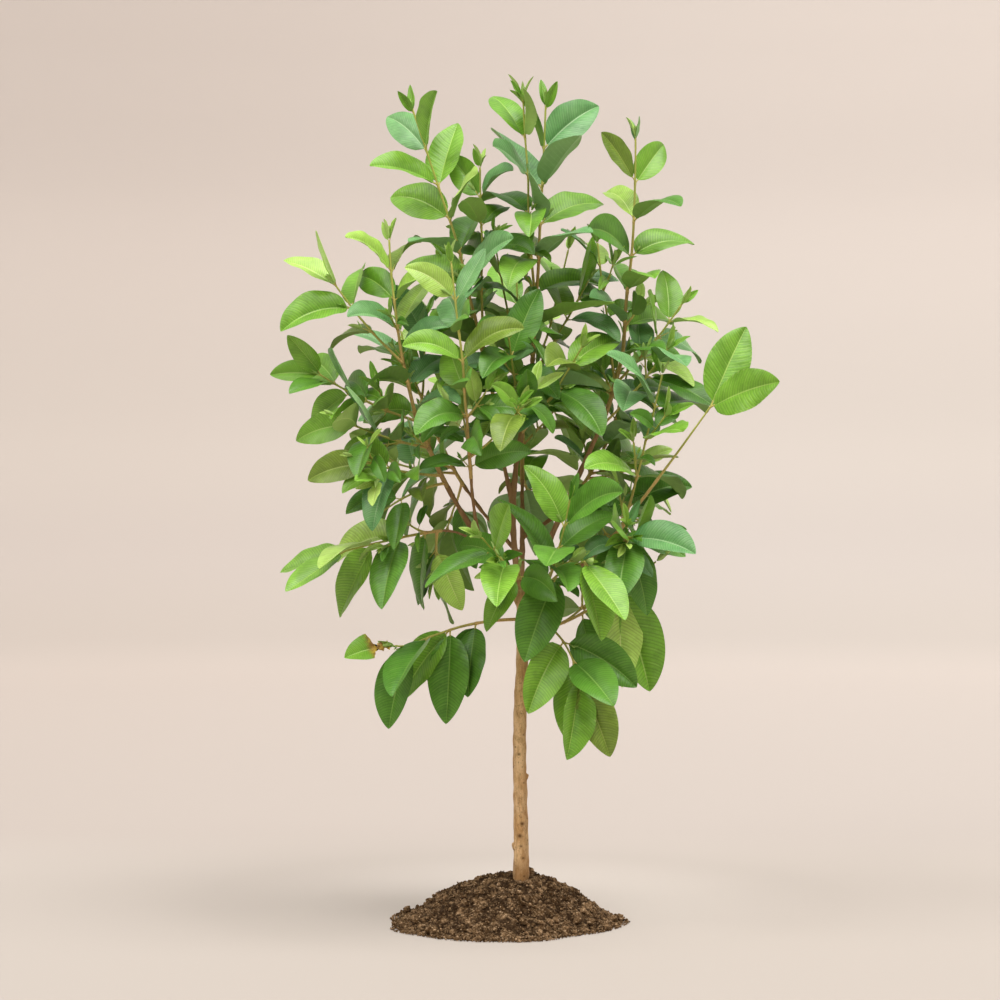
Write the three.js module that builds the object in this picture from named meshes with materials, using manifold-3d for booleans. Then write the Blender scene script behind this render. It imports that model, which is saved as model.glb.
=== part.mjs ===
// A young guava tree, about 1.2 m tall, standing in a heaped mound of soil.
// Millimetres, +Z up, -Y towards the front. The origin is under the trunk, on the mound's flat underside.
//
// The trunk stands in a socket in the soil and forks into boughs. Each bough, or the trunk itself,
// carries one mass of foliage: a stem that branches into shoots, with leaves in crossed pairs.

import * as THREE from "three";
import { mergeVertices } from "three/addons/utils/BufferGeometryUtils.js";
import Module from "manifold-3d";

const wasm = await Module();
wasm.setup();

// ---------------------------------------------------------------- driving dimensions

const GAP = 0.3; // clearance between neighbouring pieces
const WELD = 1e-4; // corners closer than this are one
const UP = new THREE.Vector3(0, 0, 1);
const RADIANS = Math.PI / 180;

const SOIL = {
  centre: [-23, 0], // the middle of its outline; its top is at the trunk
  radius: 156,
  height: 66,
  sectors: 52,
  rings: 12,
  lump: 0.075, // unevenness of the outline, as a share of the radius
  lumps: [[3, 1, 1], [5, 2.2, 0.7], [9, 0.6, 0.5]], // waves round the outline: how many, phase, size
  bump: 0.05, // height of the bumps on the slope, as a share of the heap's height
  bumps: [7, 11], // how many round the heap, and how fast they turn outwards
  dome: [2.1, 1.5], // how broad the top is, and how concave the skirt
  clods: 60, // rounded lumps, laid from the middle outwards in a spiral
  clodSize: [11, 23], // their radii
  clodRise: 0.42, // their height, as a share of their radius
  clodReach: 0.94, // how far out the last one lies, as a share of the heap's radius
};
const GOLDEN_ANGLE = Math.PI * (3 - Math.sqrt(5));

const TRUNK = {
  foot: 14, // height of the flat foot inside the soil
  fork: 462, // height of the top, where the boughs leave
  footRadius: 11.2,
  forkRadius: 7.6,
  flare: 5, // extra radius at the foot, which dies away upwards
  flareHeight: 26,
  sway: 1.6, // how far the axis strays from its line
  bends: [9, 7], // how fast it strays in X and Y, in radians over the height
  lean: 2, // how far its top is off to the right
  sides: 12,
  steps: 12,
};

// Stubs of removed shoots: height, compass angle in degrees (0 is +X, -90 the front) and size. `sunk`
// and `tall` are how far one is set into the trunk and how much taller than wide it is.
const KNOB = { sunk: 0.4, tall: 1.5, facets: [6, 4] };
const KNOBS = [
  { height: 108, angle: 180, size: 3.4 },
  { height: 205, angle: 0, size: 3.0 },
];

// Boughs: what they leave from ("trunk" or an earlier bough, at a share of its length), the point
// that the curve bends towards, the tip, and the radius at each end.
const BOUGHS = {
  bough_centre: { on: "trunk", at: 0.985, bend: [-20, 4, 560], tip: [-2, 12, 660], radii: [5.4, 3.6] },
  bough_left: { on: "trunk", at: 0.955, bend: [-66, -20, 545], tip: [-101, -30, 609], radii: [5.0, 3.2] },
  bough_right: { on: "trunk", at: 0.97, bend: [62, 16, 580], tip: [112, 26, 690], radii: [5.0, 3.2] },
  bough_low_right: { on: "trunk", at: 0.93, bend: [60, -14, 478], tip: [128, -45, 540], radii: [4.2, 3.0] },
  bough_back: { on: "trunk", at: 0.94, bend: [4, 70, 530], tip: [4, 108, 620], radii: [4.6, 3.0] },
  bough_top_left: {
    on: "bough_centre", at: 0.62, bend: [-28, 8, 660], tip: [-34, 12, 712], radii: [3.1, 2.6],
  },
  bough_front: { on: "bough_left", at: 0.48, bend: [-66, -48, 580], tip: [-68, -66, 624], radii: [2.9, 2.3] },
  bough_low_left: {
    on: "bough_left", at: 0.34, bend: [-72, -22, 552], tip: [-112, -32, 548], radii: [2.3, 1.9],
  },
  bough_back_left: {
    on: "bough_back", at: 0.4, bend: [-46, 68, 560], tip: [-80, 84, 612], radii: [3.2, 2.5],
  },
  bough_back_right: {
    on: "bough_back", at: 0.55, bend: [50, 86, 560], tip: [86, 98, 606], radii: [3.2, 2.5],
  },
};

// Foliage masses. Shoot 0 is a mass's stem: it grows on from the tip of its bough, or leaves the trunk
// at the height `at` with the radius given. Every other shoot leaves the shoot `on` at the share `at`
// of its length. `tip` is where a shoot ends, `pairs` its number of leaf pairs, the first of them at
// the share `bare` of its length and turned by `turn` degrees about it. `leaf` is the length of its
// leaves, `sag` how far their weight turns them down at the root, and `lost` are those that have fallen,
// counted from its root. `arch`, `lead` and `bud` stand in for those under SHOOT, `front` for FACING's.
const MASSES = {
  crown_left: {
    from: "bough_left",
    shoots: [
      { tip: [-181, -50, 950], pairs: 7, leaf: 86, turn: 50, bare: 0.2 },
      { on: 0, at: 0.56, tip: [-254, -62, 886], pairs: 2, leaf: 96, turn: 30, bare: 0.45, bud: 0.85 },
      { on: 0, at: 0.32, tip: [-276, -50, 764], pairs: 4, leaf: 84, turn: 60, bare: 0.3, bud: 0.8 },
      { on: 0, at: 0.2, tip: [-250, -90, 704], pairs: 3, leaf: 92, turn: 20, bare: 0.3, bud: 0.6 },
      { on: 0, at: 0.06, tip: [-226, -116, 650], pairs: 3, leaf: 84, turn: 30, bare: 0.3, bud: 0.6 },
      { on: 0, at: 0.02, tip: [-188, -74, 576], pairs: 2, leaf: 76, turn: 40, bare: 0.35, arch: 0.12 },
      { on: 0, at: 0.3, tip: [-132, 40, 850], pairs: 3, leaf: 86, turn: 50, bare: 0.3 },
    ],
  },
  crown_front: {
    from: "bough_front",
    shoots: [
      { tip: [-94, -112, 912], pairs: 7, leaf: 84, turn: 10, bare: 0.06, lead: 0.3 },
      { on: 0, at: 0.14, tip: [0, -136, 714], pairs: 1, leaf: 92, turn: 20, bare: 0.9 },
    ],
  },
  crown_top_left: {
    from: "bough_top_left",
    shoots: [
      { tip: [-150, -10, 1136], pairs: 8, leaf: 106, turn: 40, bare: 0.16, lead: 0.3, front: 0.8 },
      { on: 0, at: 0.3, tip: [-56, 0, 1056], pairs: 4, leaf: 78, turn: 50, bare: 0.35 },
      { on: 0, at: 0.2, tip: [-84, 96, 920], pairs: 3, leaf: 88, turn: 60, bare: 0.3 },
    ],
  },
  crown_top: {
    from: "bough_centre",
    shoots: [
      { tip: [36, 4, 1144], pairs: 9, leaf: 112, turn: 40, bare: 0.12, lead: 0.3, bud: 0.36 },
      { on: 0, at: 0.52, tip: [4, -24, 1150], pairs: 4, leaf: 96, turn: 50, bare: 0.25, bud: 0.3 },
      { on: 0, at: 0.3, tip: [96, 26, 900], pairs: 3, leaf: 84, turn: 60, bare: 0.4 },
      { on: 0, at: 0.08, tip: [84, -60, 800], pairs: 3, leaf: 94, turn: 20, bare: 0.3 },
      { on: 0, at: 0.12, tip: [-16, -84, 812], pairs: 3, leaf: 88, turn: 70, bare: 0.4 },
      { on: 0, at: 0.2, tip: [70, 100, 950], pairs: 3, leaf: 92, turn: 0, bare: 0.3 },
      { on: 0, at: 0.24, tip: [-36, 90, 962], pairs: 3, leaf: 92, turn: 40, bare: 0.3 },
    ],
  },
  crown_right: {
    from: "bough_right",
    shoots: [
      { tip: [162, 4, 1098], pairs: 7, leaf: 92, turn: 30, bare: 0.2, lead: 0.3 },
      { on: 0, at: 0.24, tip: [110, 40, 954], pairs: 3, leaf: 78, turn: 50, bare: 0.5 },
      { on: 0, at: 0.24, tip: [226, 10, 864], pairs: 3, leaf: 84, turn: 60, bare: 0.4 },
      { on: 0, at: 0.02, tip: [204, -22, 800], pairs: 3, leaf: 100, turn: 10, bare: 0.5 },
      { on: 0, at: 0.08, tip: [150, 116, 830], pairs: 3, leaf: 88, turn: 10, bare: 0.3 },
    ],
  },
  crown_right_arm: {
    from: "bough_low_right",
    shoots: [
      {
        tip: [262, -92, 722], pairs: 1, leaf: 122, turn: -58, bare: 0.62, lead: 0.1, bud: 1, sag: 0.2,
        front: 3, lost: [0, 1],
      },
      { on: 0, at: 0.24, tip: [196, -50, 764], pairs: 3, leaf: 108, turn: 40, bare: 0.35 },
      { on: 0, at: 0.04, tip: [152, -90, 540], pairs: 3, leaf: 96, turn: 30, bare: 0.35, sag: 0.6 },
      { on: 0, at: 0.16, tip: [166, 70, 612], pairs: 3, leaf: 90, turn: 50, bare: 0.3 },
    ],
  },
  crown_low_front: {
    from: "trunk",
    at: 450,
    radius: 2.2,
    shoots: [
      { tip: [66, -136, 590], pairs: 4, leaf: 104, turn: 40, bare: 0.4, lead: 0.4 },
      { on: 0, at: 0.3, tip: [-52, -130, 540], pairs: 3, leaf: 94, turn: 40, bare: 0.35, sag: 0.4 },
      {
        on: 0, at: 0.4, tip: [86, -140, 508], pairs: 1, leaf: 124, turn: 10, bare: 0.3, arch: 0.1,
        bud: 0.85, sag: 1.4, front: 1, lost: [1],
      },
    ],
  },
  crown_low_right: {
    from: "trunk",
    at: 408,
    radius: 2.4,
    shoots: [
      {
        tip: [186, -66, 506], pairs: 2, leaf: 132, turn: 40, bare: 0.5, lead: 0.3, bud: 0.6, sag: 2.6,
        front: 1, lost: [0],
      },
      { on: 0, at: 0.36, tip: [150, 84, 500], pairs: 3, leaf: 98, turn: 30, bare: 0.3, sag: 0.9 },
    ],
  },
  crown_skirt_right: {
    from: "trunk",
    at: 426,
    radius: 1.9,
    shoots: [
      {
        tip: [80, -118, 346], pairs: 2, leaf: 112, turn: 10, bare: 0.6, lead: 0.6, bud: 0.95, sag: 0.55,
        front: 1.2,
      },
    ],
  },
  crown_skirt_left: {
    from: "trunk",
    at: 424,
    radius: 2.1,
    shoots: [
      {
        tip: [-156, -48, 388], pairs: 3, leaf: 116, turn: 20, bare: 0.36, lead: 0.5, bud: 0.95, sag: 1.3,
        front: 1.6, lost: [6],
      },
      {
        on: 0, at: 0.97, tip: [-172, -56, 390], pairs: 1, leaf: 76, turn: 0, bare: 0.5, bud: 0.8, sag: 1.1,
        front: 2, lost: [0, 1, 2],
      },
    ],
  },
  crown_low_left: {
    from: "bough_low_left",
    shoots: [
      { tip: [-244, -50, 520], pairs: 3, leaf: 110, turn: 60, bare: 0.2, lead: 0.3, bud: 0.9, sag: 0.2 },
      { on: 0, at: 0.04, tip: [-118, -24, 490], pairs: 2, leaf: 96, turn: 20, bare: 0.4, sag: 1 },
    ],
  },
  crown_back: {
    from: "bough_back",
    shoots: [
      { tip: [-4, 176, 920], pairs: 6, leaf: 96, turn: 30, bare: 0.14 },
      { on: 0, at: 0.2, tip: [84, 214, 770], pairs: 3, leaf: 94, turn: 0, bare: 0.3, bud: 0.6 },
      { on: 0, at: 0.12, tip: [-84, 210, 750], pairs: 3, leaf: 94, turn: 40, bare: 0.3, bud: 0.6 },
      { on: 0, at: 0.02, tip: [20, 230, 600], pairs: 3, leaf: 100, turn: 70, bare: 0.3, bud: 0.6 },
    ],
  },
  crown_back_left: {
    from: "bough_back_left",
    shoots: [
      { tip: [-172, 136, 836], pairs: 5, leaf: 90, turn: 0, bare: 0.14 },
      { on: 0, at: 0.1, tip: [-196, 150, 650], pairs: 3, leaf: 94, turn: 30, bare: 0.3, bud: 0.6 },
      { on: 0, at: 0.02, tip: [-110, 180, 540], pairs: 3, leaf: 98, turn: 60, bare: 0.3, sag: 0.7 },
    ],
  },
  crown_back_right: {
    from: "bough_back_right",
    shoots: [
      { tip: [164, 142, 826], pairs: 5, leaf: 90, turn: 20, bare: 0.14 },
      { on: 0, at: 0.1, tip: [172, 160, 640], pairs: 3, leaf: 94, turn: 50, bare: 0.3, bud: 0.6 },
      { on: 0, at: 0.02, tip: [136, 178, 530], pairs: 3, leaf: 98, turn: 0, bare: 0.3, sag: 0.7 },
    ],
  },
};

// The space that the crown keeps to: an upright oval tube. A leaf whose tip would leave it is skipped.
const CROWN = { low: 226, high: 1186, middle: [6, 20], reach: [440, 320] };

const SHOOT = {
  tipRadius: 0.9,
  sideRadius: 1.7, // a side shoot's radius at its root
  sideShare: 0.9, // and at most this share of its parent's there
  sides: 3,
  lastPair: 0.985, // where the pair at the tip leaves, as a share of the shoot
  closing: 0.85, // below 1, the pairs come closer together towards the tip
  stagger: 0.006, // how much higher the second leaf of a pair leaves, as a share of the shoot
  lead: 0.42, // how far a stem keeps its first direction, as a share of its length
  arch: -0.08, // how far a side shoot bends up at its middle, as a share of its length
  bud: 0.34, // the length of the pair at the tip, as a share of the full leaf
};

const LEAF = {
  steps: 12, // steps of the curve that gravity bends
  rings: [3, 8], // the steps where the blade has a section
  petiole: 7, // from the shoot's axis to the blade
  petioleRadius: 0.9,
  neck: 1.5, // how far outside the shoot the petiole has its full thickness
  sunk: 0.4, // how far past the axis it is rooted, as a share of the shoot's radius
  halfWidth: 0.25, // of the blade's length
  thickness: 0.016, // of the blade's length, at the midrib
  clearance: 2.4, // extra thickness when it is tested for touching its neighbours
  baseRoundness: 0.62,
  tipRoundness: 0.8,
  fold: 23, // how far each half is raised, in degrees
};

// How a shoot's leaves stand. A pair of values runs from its first pair of leaves to its last, `away`
// is the angle from the shoot in degrees and `droop` the bend over the whole length in radians.
// The `stray` values are whole ranges, in degrees or as a share.
const STAND = {
  away: [68, 35],
  awayStray: 16,
  aroundStray: 30,
  rollStray: 50,
  droop: [0.95, 0.55],
  droopStray: 1,
  sagStray: 1.2,
  eased: 0.5, // how much less a leaf droops for its sag
  foldStray: 1,
  size: [0.97, 0.3, -0.4], // a constant, a linear and a cubic part
  sizeLeast: 0.88,
  sizeStray: 0.2,
};

// The pair at a shoot's end stands closer to it, by the first angle and the second times its size.
const BUD = { away: [16, 12], droop: 0.4 };

// How strongly a leaf's upper face is drawn along its shoot, up, away from the trunk and to the front.
const FACING = { along: 0.35, up: 0.7, outward: 0.4, front: 0.55 };

// A leaf that touches something turns about its shoot and lifts, by these degrees, until it is clear.
const WAYS_ROUND = [
  [0, 0], [16, 0], [-16, 0], [0, 14], [0, -14], [30, 6], [-30, 6], [30, -12], [-30, -12], [48, 10], [-48, 10],
];

const BOUGH_SIDES = 7;
const BOUGH_STEPS = 6;
const LIMB_CLEARANCE = 0.8; // extra radius of a limb when leaves are tested for touching it
const STEEP = 0.8; // a direction whose Z is greater counts as upright

const COLOURS = {
  soil: 0x5a4636,
  bark: 0x9a7350,
  foliage: 0x4f8a34,
};

// ---------------------------------------------------------------- small helpers

const vec = (p) => new THREE.Vector3(...p);

// The same stream of numbers from 0 to 1 for the same seed, by repeated multiplication.
const STREAM = { spread: 7919, offset: 12345, factor: 16807, prime: 2147483647 };
function seeded(seed) {
  let state = seed * STREAM.spread + STREAM.offset;
  return () => {
    state = (state * STREAM.factor) % STREAM.prime;
    return state / STREAM.prime;
  };
}

const between = ([from, to], share) => from + (to - from) * share;

// The part of `v` square to the unit vector `d`, made a unit vector.
const squareTo = (v, d) => v.clone().addScaledVector(d, -v.dot(d)).normalize();

const soilLook = () => new THREE.MeshStandardMaterial({ color: COLOURS.soil, roughness: 0.95 });
const barkLook = () => new THREE.MeshStandardMaterial({ color: COLOURS.bark, roughness: 0.85 });
const leafLook = () => new THREE.MeshStandardMaterial({ color: COLOURS.foliage, roughness: 0.55 });

// A closed geometry that holds nothing but positions, as a solid of manifold-3d.
function solidOf(geometry) {
  const merged = mergeVertices(geometry, WELD);
  return new wasm.Manifold(
    new wasm.Mesh({
      numProp: 3,
      vertProperties: merged.attributes.position.array,
      triVerts: new Uint32Array(merged.index.array),
    }),
  );
}

function solidFrom(points, triangles) {
  const geometry = new THREE.BufferGeometry();
  geometry.setAttribute("position", new THREE.Float32BufferAttribute(points.flatMap((p) => p.toArray()), 3));
  geometry.setIndex(triangles.flat());
  return solidOf(geometry);
}

// A manifold-3d solid as a named three.js mesh. Loose scraps of a boolean are dropped.
function meshFrom(solid, name, look) {
  const [body] = solid.decompose().sort((a, b) => b.volume() - a.volume());
  const made = body.getMesh();
  const geometry = new THREE.BufferGeometry();
  const positions = new Float32Array(made.numVert * 3);
  for (let i = 0; i < made.numVert; i++) {
    positions.set(made.vertProperties.subarray(i * made.numProp, i * made.numProp + 3), i * 3);
  }
  geometry.setAttribute("position", new THREE.BufferAttribute(positions, 3));
  geometry.setIndex(new THREE.BufferAttribute(made.triVerts, 1));
  geometry.computeVertexNormals();
  const mesh = new THREE.Mesh(geometry, look);
  mesh.name = name;
  return mesh;
}

// Triangles that join closed rings of points, all with as many points, and cap both ends.
function ringTriangles(rings, count) {
  const triangles = [];
  for (let i = 2; i < count; i++) triangles.push([0, i, i - 1]);
  for (let r = 1; r < rings; r++) {
    for (let i = 0; i < count; i++) {
      const a = (r - 1) * count + i;
      const b = (r - 1) * count + ((i + 1) % count);
      triangles.push([a, b, b + count], [a, b + count, a + count]);
    }
  }
  const last = (rings - 1) * count;
  for (let i = 2; i < count; i++) triangles.push([last, last + i - 1, last + i]);
  return triangles;
}

// ---------------------------------------------------------------- limbs

const evenly = (steps) => Array.from({ length: steps + 1 }, (_, s) => s / steps);

// A round limb: pointAt(t), directionAt(t) and radiusAt(t) for t from 0 to 1, with a ring of corners
// at each station. `grow` thickens it.
function limbShape(limb, sides, stations, grow = 0) {
  const points = [];
  const middle = limb.directionAt(0.5);
  const reference = middle.clone().cross(Math.abs(middle.z) > STEEP ? vec([1, 0, 0]) : UP);
  for (const t of stations) {
    const centre = limb.pointAt(t);
    const d = limb.directionAt(t);
    const e1 = squareTo(reference, d);
    const e2 = d.clone().cross(e1);
    const radius = limb.radiusAt(t) + grow;
    for (let i = 0; i < sides; i++) {
      const a = (i / sides) * 2 * Math.PI;
      points.push(
        centre.clone().addScaledVector(e1, radius * Math.cos(a)).addScaledVector(e2, radius * Math.sin(a)),
      );
    }
  }
  return { points, triangles: ringTriangles(stations.length, sides) };
}

const limbSolid = (limb, sides, stations, grow = 0) => {
  const { points, triangles } = limbShape(limb, sides, stations, grow);
  return solidFrom(points, triangles);
};

// A limb along a curve of one bend, tapering evenly.
function bentLimb(from, bend, to, radii) {
  const curve = new THREE.QuadraticBezierCurve3(from, bend, to);
  return {
    pointAt: (t) => curve.getPoint(t),
    directionAt: (t) => bend.clone().sub(from).lerp(to.clone().sub(bend), t).normalize(),
    radiusAt: (t) => radii[0] + (radii[1] - radii[0]) * t,
  };
}

// The same limb with straight stretches between its stations, as its solid has.
function straightened(limb, stations) {
  return {
    ...limb,
    pointAt: (t) => {
      const next = Math.max(1, stations.findIndex((s) => s >= t));
      const [a, b] = [stations[next - 1], stations[next]];
      return limb.pointAt(a).lerp(limb.pointAt(b), (t - a) / (b - a));
    },
  };
}

const trunk = {
  pointAt: (t) => {
    const z = TRUNK.foot + (TRUNK.fork - TRUNK.foot) * t;
    const [inX, inY] = TRUNK.bends;
    return vec([TRUNK.sway * Math.sin(t * inX) + TRUNK.lean * t, TRUNK.sway * Math.cos(t * inY), z]);
  },
  directionAt: () => UP.clone(),
  radiusAt: (t) => {
    const above = (TRUNK.fork - TRUNK.foot) * t;
    const taper = TRUNK.footRadius + (TRUNK.forkRadius - TRUNK.footRadius) * t;
    return taper + TRUNK.flare * Math.exp(-above / TRUNK.flareHeight);
  },
};

const boughs = {};
for (const [name, bough] of Object.entries(BOUGHS)) {
  const parent = bough.on === "trunk" ? trunk : boughs[bough.on];
  boughs[name] = bentLimb(parent.pointAt(bough.at), vec(bough.bend), vec(bough.tip), bough.radii);
}

// ---------------------------------------------------------------- what touches what

// Whether the segment p-q passes through the triangle a-b-c.
function pierces(p, q, a, b, c) {
  const ab = b.clone().sub(a);
  const ac = c.clone().sub(a);
  const pq = q.clone().sub(p);
  const h = pq.clone().cross(ac);
  const det = ab.dot(h);
  if (Math.abs(det) < 1e-12) return false;
  const ap = p.clone().sub(a);
  const u = ap.dot(h) / det;
  if (u < 0 || u > 1) return false;
  const k = ap.cross(ab);
  const v = pq.dot(k) / det;
  if (v < 0 || u + v > 1) return false;
  const t = ac.dot(k) / det;
  return t >= 0 && t <= 1;
}

// A shape with its box and edges, ready to be tested.
function obstacle({ points, triangles }) {
  const edges = new Map();
  for (const [a, b, c] of triangles) {
    for (const [i, j] of [[a, b], [b, c], [c, a]]) edges.set(Math.min(i, j) * 1000 + Math.max(i, j), [i, j]);
  }
  return { points, triangles, edges: [...edges.values()], box: new THREE.Box3().setFromPoints(points) };
}

function edgesPierce(one, other) {
  return one.edges.some(([i, j]) =>
    other.triangles.some(([a, b, c]) =>
      pierces(one.points[i], one.points[j], other.points[a], other.points[b], other.points[c]),
    ),
  );
}

// A leaf may meet its own limb, and the other leaf of its pair, at its root.
const isOwn = (leaf, other) =>
  other.limb === leaf.limb && (other.pair === undefined || other.pair === leaf.pair);

const touches = (one, other) =>
  one.box.intersectsBox(other.box) && (edgesPierce(one, other) || edgesPierce(other, one));

// ---------------------------------------------------------------- leaves

// Where the outline is widest, as a share of the blade's length.
const widest = LEAF.baseRoundness / (LEAF.baseRoundness + LEAF.tipRoundness);
const outlinePeak = widest ** LEAF.baseRoundness * (1 - widest) ** LEAF.tipRoundness;

// The outline's half-width at the share t of the blade, from 0 to 1.
const outline = (t) => (t ** LEAF.baseRoundness * (1 - t) ** LEAF.tipRoundness) / outlinePeak;

// The leaf's midrib: points, directions and normals, from the shoot's axis along the petiole to the tip.
function leafSpine({ root, direction, normal, length, droop }) {
  const spine = [];
  const d = direction.clone();
  const n = normal.clone();
  const p = root.clone().addScaledVector(d, LEAF.petiole);
  for (let s = 0; s <= LEAF.steps; s++) {
    spine.push({ p: p.clone(), d: d.clone(), n: n.clone() });
    p.addScaledVector(d, length / LEAF.steps);
    d.addScaledVector(UP, -droop / LEAF.steps).normalize();
    n.copy(squareTo(n, d));
  }
  return spine;
}

// The four corners of the blade's section: left edge, midrib's top, right edge, midrib's underside.
function bladeSection({ p, d, n }, halfWidth, thickness, fold) {
  const side = d.clone().cross(n);
  const rise = halfWidth * Math.tan(fold * RADIANS);
  return [
    p.clone().addScaledVector(side, -halfWidth).addScaledVector(n, rise),
    p.clone().addScaledVector(n, thickness / 2),
    p.clone().addScaledVector(side, halfWidth).addScaledVector(n, rise),
    p.clone().addScaledVector(n, -thickness / 2),
  ];
}

// Three corners round the petiole.
function petioleRing(centre, direction, normal, radius) {
  const side = direction.clone().cross(normal);
  return [150, 30, 270].map((angle) =>
    centre
      .clone()
      .addScaledVector(side, radius * Math.cos(angle * RADIANS))
      .addScaledVector(normal, radius * Math.sin(angle * RADIANS)),
  );
}

// A closed leaf: a point inside the shoot, a ring just outside it, the folded blade's sections and its tip.
// `extra` thickens it.
function leafShape(leaf, extra) {
  const spine = leafSpine(leaf);
  const { root, direction, normal, limbRadius } = leaf;
  const neck = root.clone().addScaledVector(direction, limbRadius + LEAF.neck);
  const points = [
    root.clone().addScaledVector(direction, -LEAF.sunk * limbRadius),
    ...petioleRing(neck, direction, normal, LEAF.petioleRadius + extra / 4),
  ];
  for (const s of LEAF.rings) {
    const halfWidth = leaf.halfWidth * outline(s / LEAF.steps);
    points.push(...bladeSection(spine[s], halfWidth, leaf.length * LEAF.thickness + extra, leaf.fold));
  }
  points.push(spine[LEAF.steps].p);
  // The root fans out to the ring's corners 1 left, 2 right and 3 underside, and these to the first
  // section's 4 left, 5 top, 6 right and 7 underside.
  const triangles = [[0, 2, 1], [0, 3, 2], [0, 1, 3]];
  triangles.push([1, 2, 5], [1, 5, 4], [2, 6, 5], [2, 3, 6], [3, 7, 6], [3, 1, 7], [1, 4, 7]);
  for (let first = 4; first + 4 < points.length - 1; first += 4) {
    for (let i = 0; i < 4; i++) {
      const next = (i + 1) % 4;
      triangles.push([first + i, first + next, first + 4 + next]);
      triangles.push([first + i, first + 4 + next, first + 4 + i]);
    }
  }
  const tip = points.length - 1;
  for (let i = 0; i < 4; i++) triangles.push([tip, tip - 4 + i, tip - 4 + ((i + 1) % 4)]);
  return { points, triangles };
}

function leafSolid(leaf) {
  const { points, triangles } = leafShape(leaf, 0);
  return solidFrom(points, triangles);
}

// ---------------------------------------------------------------- growth

// Where a mass's stem starts, and the direction and radius that it starts with.
function stemStart(mass, tip) {
  if (mass.from === "trunk") {
    const share = (mass.at - TRUNK.foot) / (TRUNK.fork - TRUNK.foot);
    const direction = tip.clone().setZ(0).normalize();
    const from = trunk.pointAt(share).addScaledVector(direction, trunk.radiusAt(share) + GAP);
    return { from, direction, radius: mass.radius };
  }
  const bough = boughs[mass.from];
  const direction = bough.directionAt(1);
  return { from: bough.pointAt(1).addScaledVector(direction, GAP), direction, radius: bough.radiusAt(1) };
}

// The limb of a shoot, the places of its leaf pairs along it, and the side that they are counted from.
function growShoot(mass, shoot, grown) {
  const tip = vec(shoot.tip);
  let start;
  let bend;
  if (grown.length) {
    const parent = grown[shoot.on].limb;
    const radius = Math.min(SHOOT.sideRadius, SHOOT.sideShare * parent.radiusAt(shoot.at));
    start = { from: parent.pointAt(shoot.at), radius };
    bend = start.from.clone().lerp(tip, 0.5);
    bend.z += (shoot.arch ?? SHOOT.arch) * start.from.distanceTo(tip);
  } else {
    start = stemStart(mass, tip);
    const lead = (shoot.lead ?? SHOOT.lead) * start.from.distanceTo(tip);
    bend = start.from.clone().addScaledVector(start.direction, lead);
  }
  const along = tip.clone().sub(start.from).normalize();
  const side = along.clone().cross(Math.abs(along.z) > STEEP ? vec([0, 1, 0]) : UP).normalize();
  const range = [shoot.bare, SHOOT.lastPair];
  const pairs = evenly(shoot.pairs).map((share) => between(range, share ** SHOOT.closing));
  // The limb's rings of corners lie between the pairs of leaves, at every other gap.
  const gaps = pairs.map((t, i) => (t + (pairs[i - 1] ?? 0)) / 2).filter((_, i) => i % 2 === 1);
  const stations = [0, ...gaps, 1];
  const limb = straightened(bentLimb(start.from, bend, tip, [start.radius, SHOOT.tipRadius]), stations);
  return { limb, side, shoot, pairs, stations };
}

// One leaf of a shoot, at the share t of it and the angle `around` it, all in degrees.
function leafAt({ limb, side, shoot }, { t, around, away, length, droop, roll, fold, sag }) {
  const along = limb.directionAt(t);
  const e1 = squareTo(side, along);
  const e2 = along.clone().cross(e1);
  const out = e1.multiplyScalar(Math.cos(around * RADIANS)).addScaledVector(e2, Math.sin(around * RADIANS));
  const direction = along.clone().multiplyScalar(Math.cos(away * RADIANS));
  direction.addScaledVector(out, Math.sin(away * RADIANS)).addScaledVector(UP, -sag).normalize();
  const root = limb.pointAt(t);
  // The upper face looks along the shoot, to the sky, away from the trunk and to the front.
  const facing = along.multiplyScalar(FACING.along).addScaledVector(UP, FACING.up);
  facing.addScaledVector(vec([root.x, root.y, 0]).normalize(), FACING.outward);
  facing.addScaledVector(vec([0, -1, 0]), shoot.front ?? FACING.front);
  const normal = squareTo(facing, direction).applyAxisAngle(direction, roll * RADIANS);
  const limbRadius = limb.radiusAt(t);
  return { root, limbRadius, direction, normal, length, droop, fold, halfWidth: length * LEAF.halfWidth };
}

function inCrown({ x, y, z }) {
  const across = (x - CROWN.middle[0]) / CROWN.reach[0];
  const along = (y - CROWN.middle[1]) / CROWN.reach[1];
  return z > CROWN.low && z < CROWN.high && across ** 2 + along ** 2 < 1;
}

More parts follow.
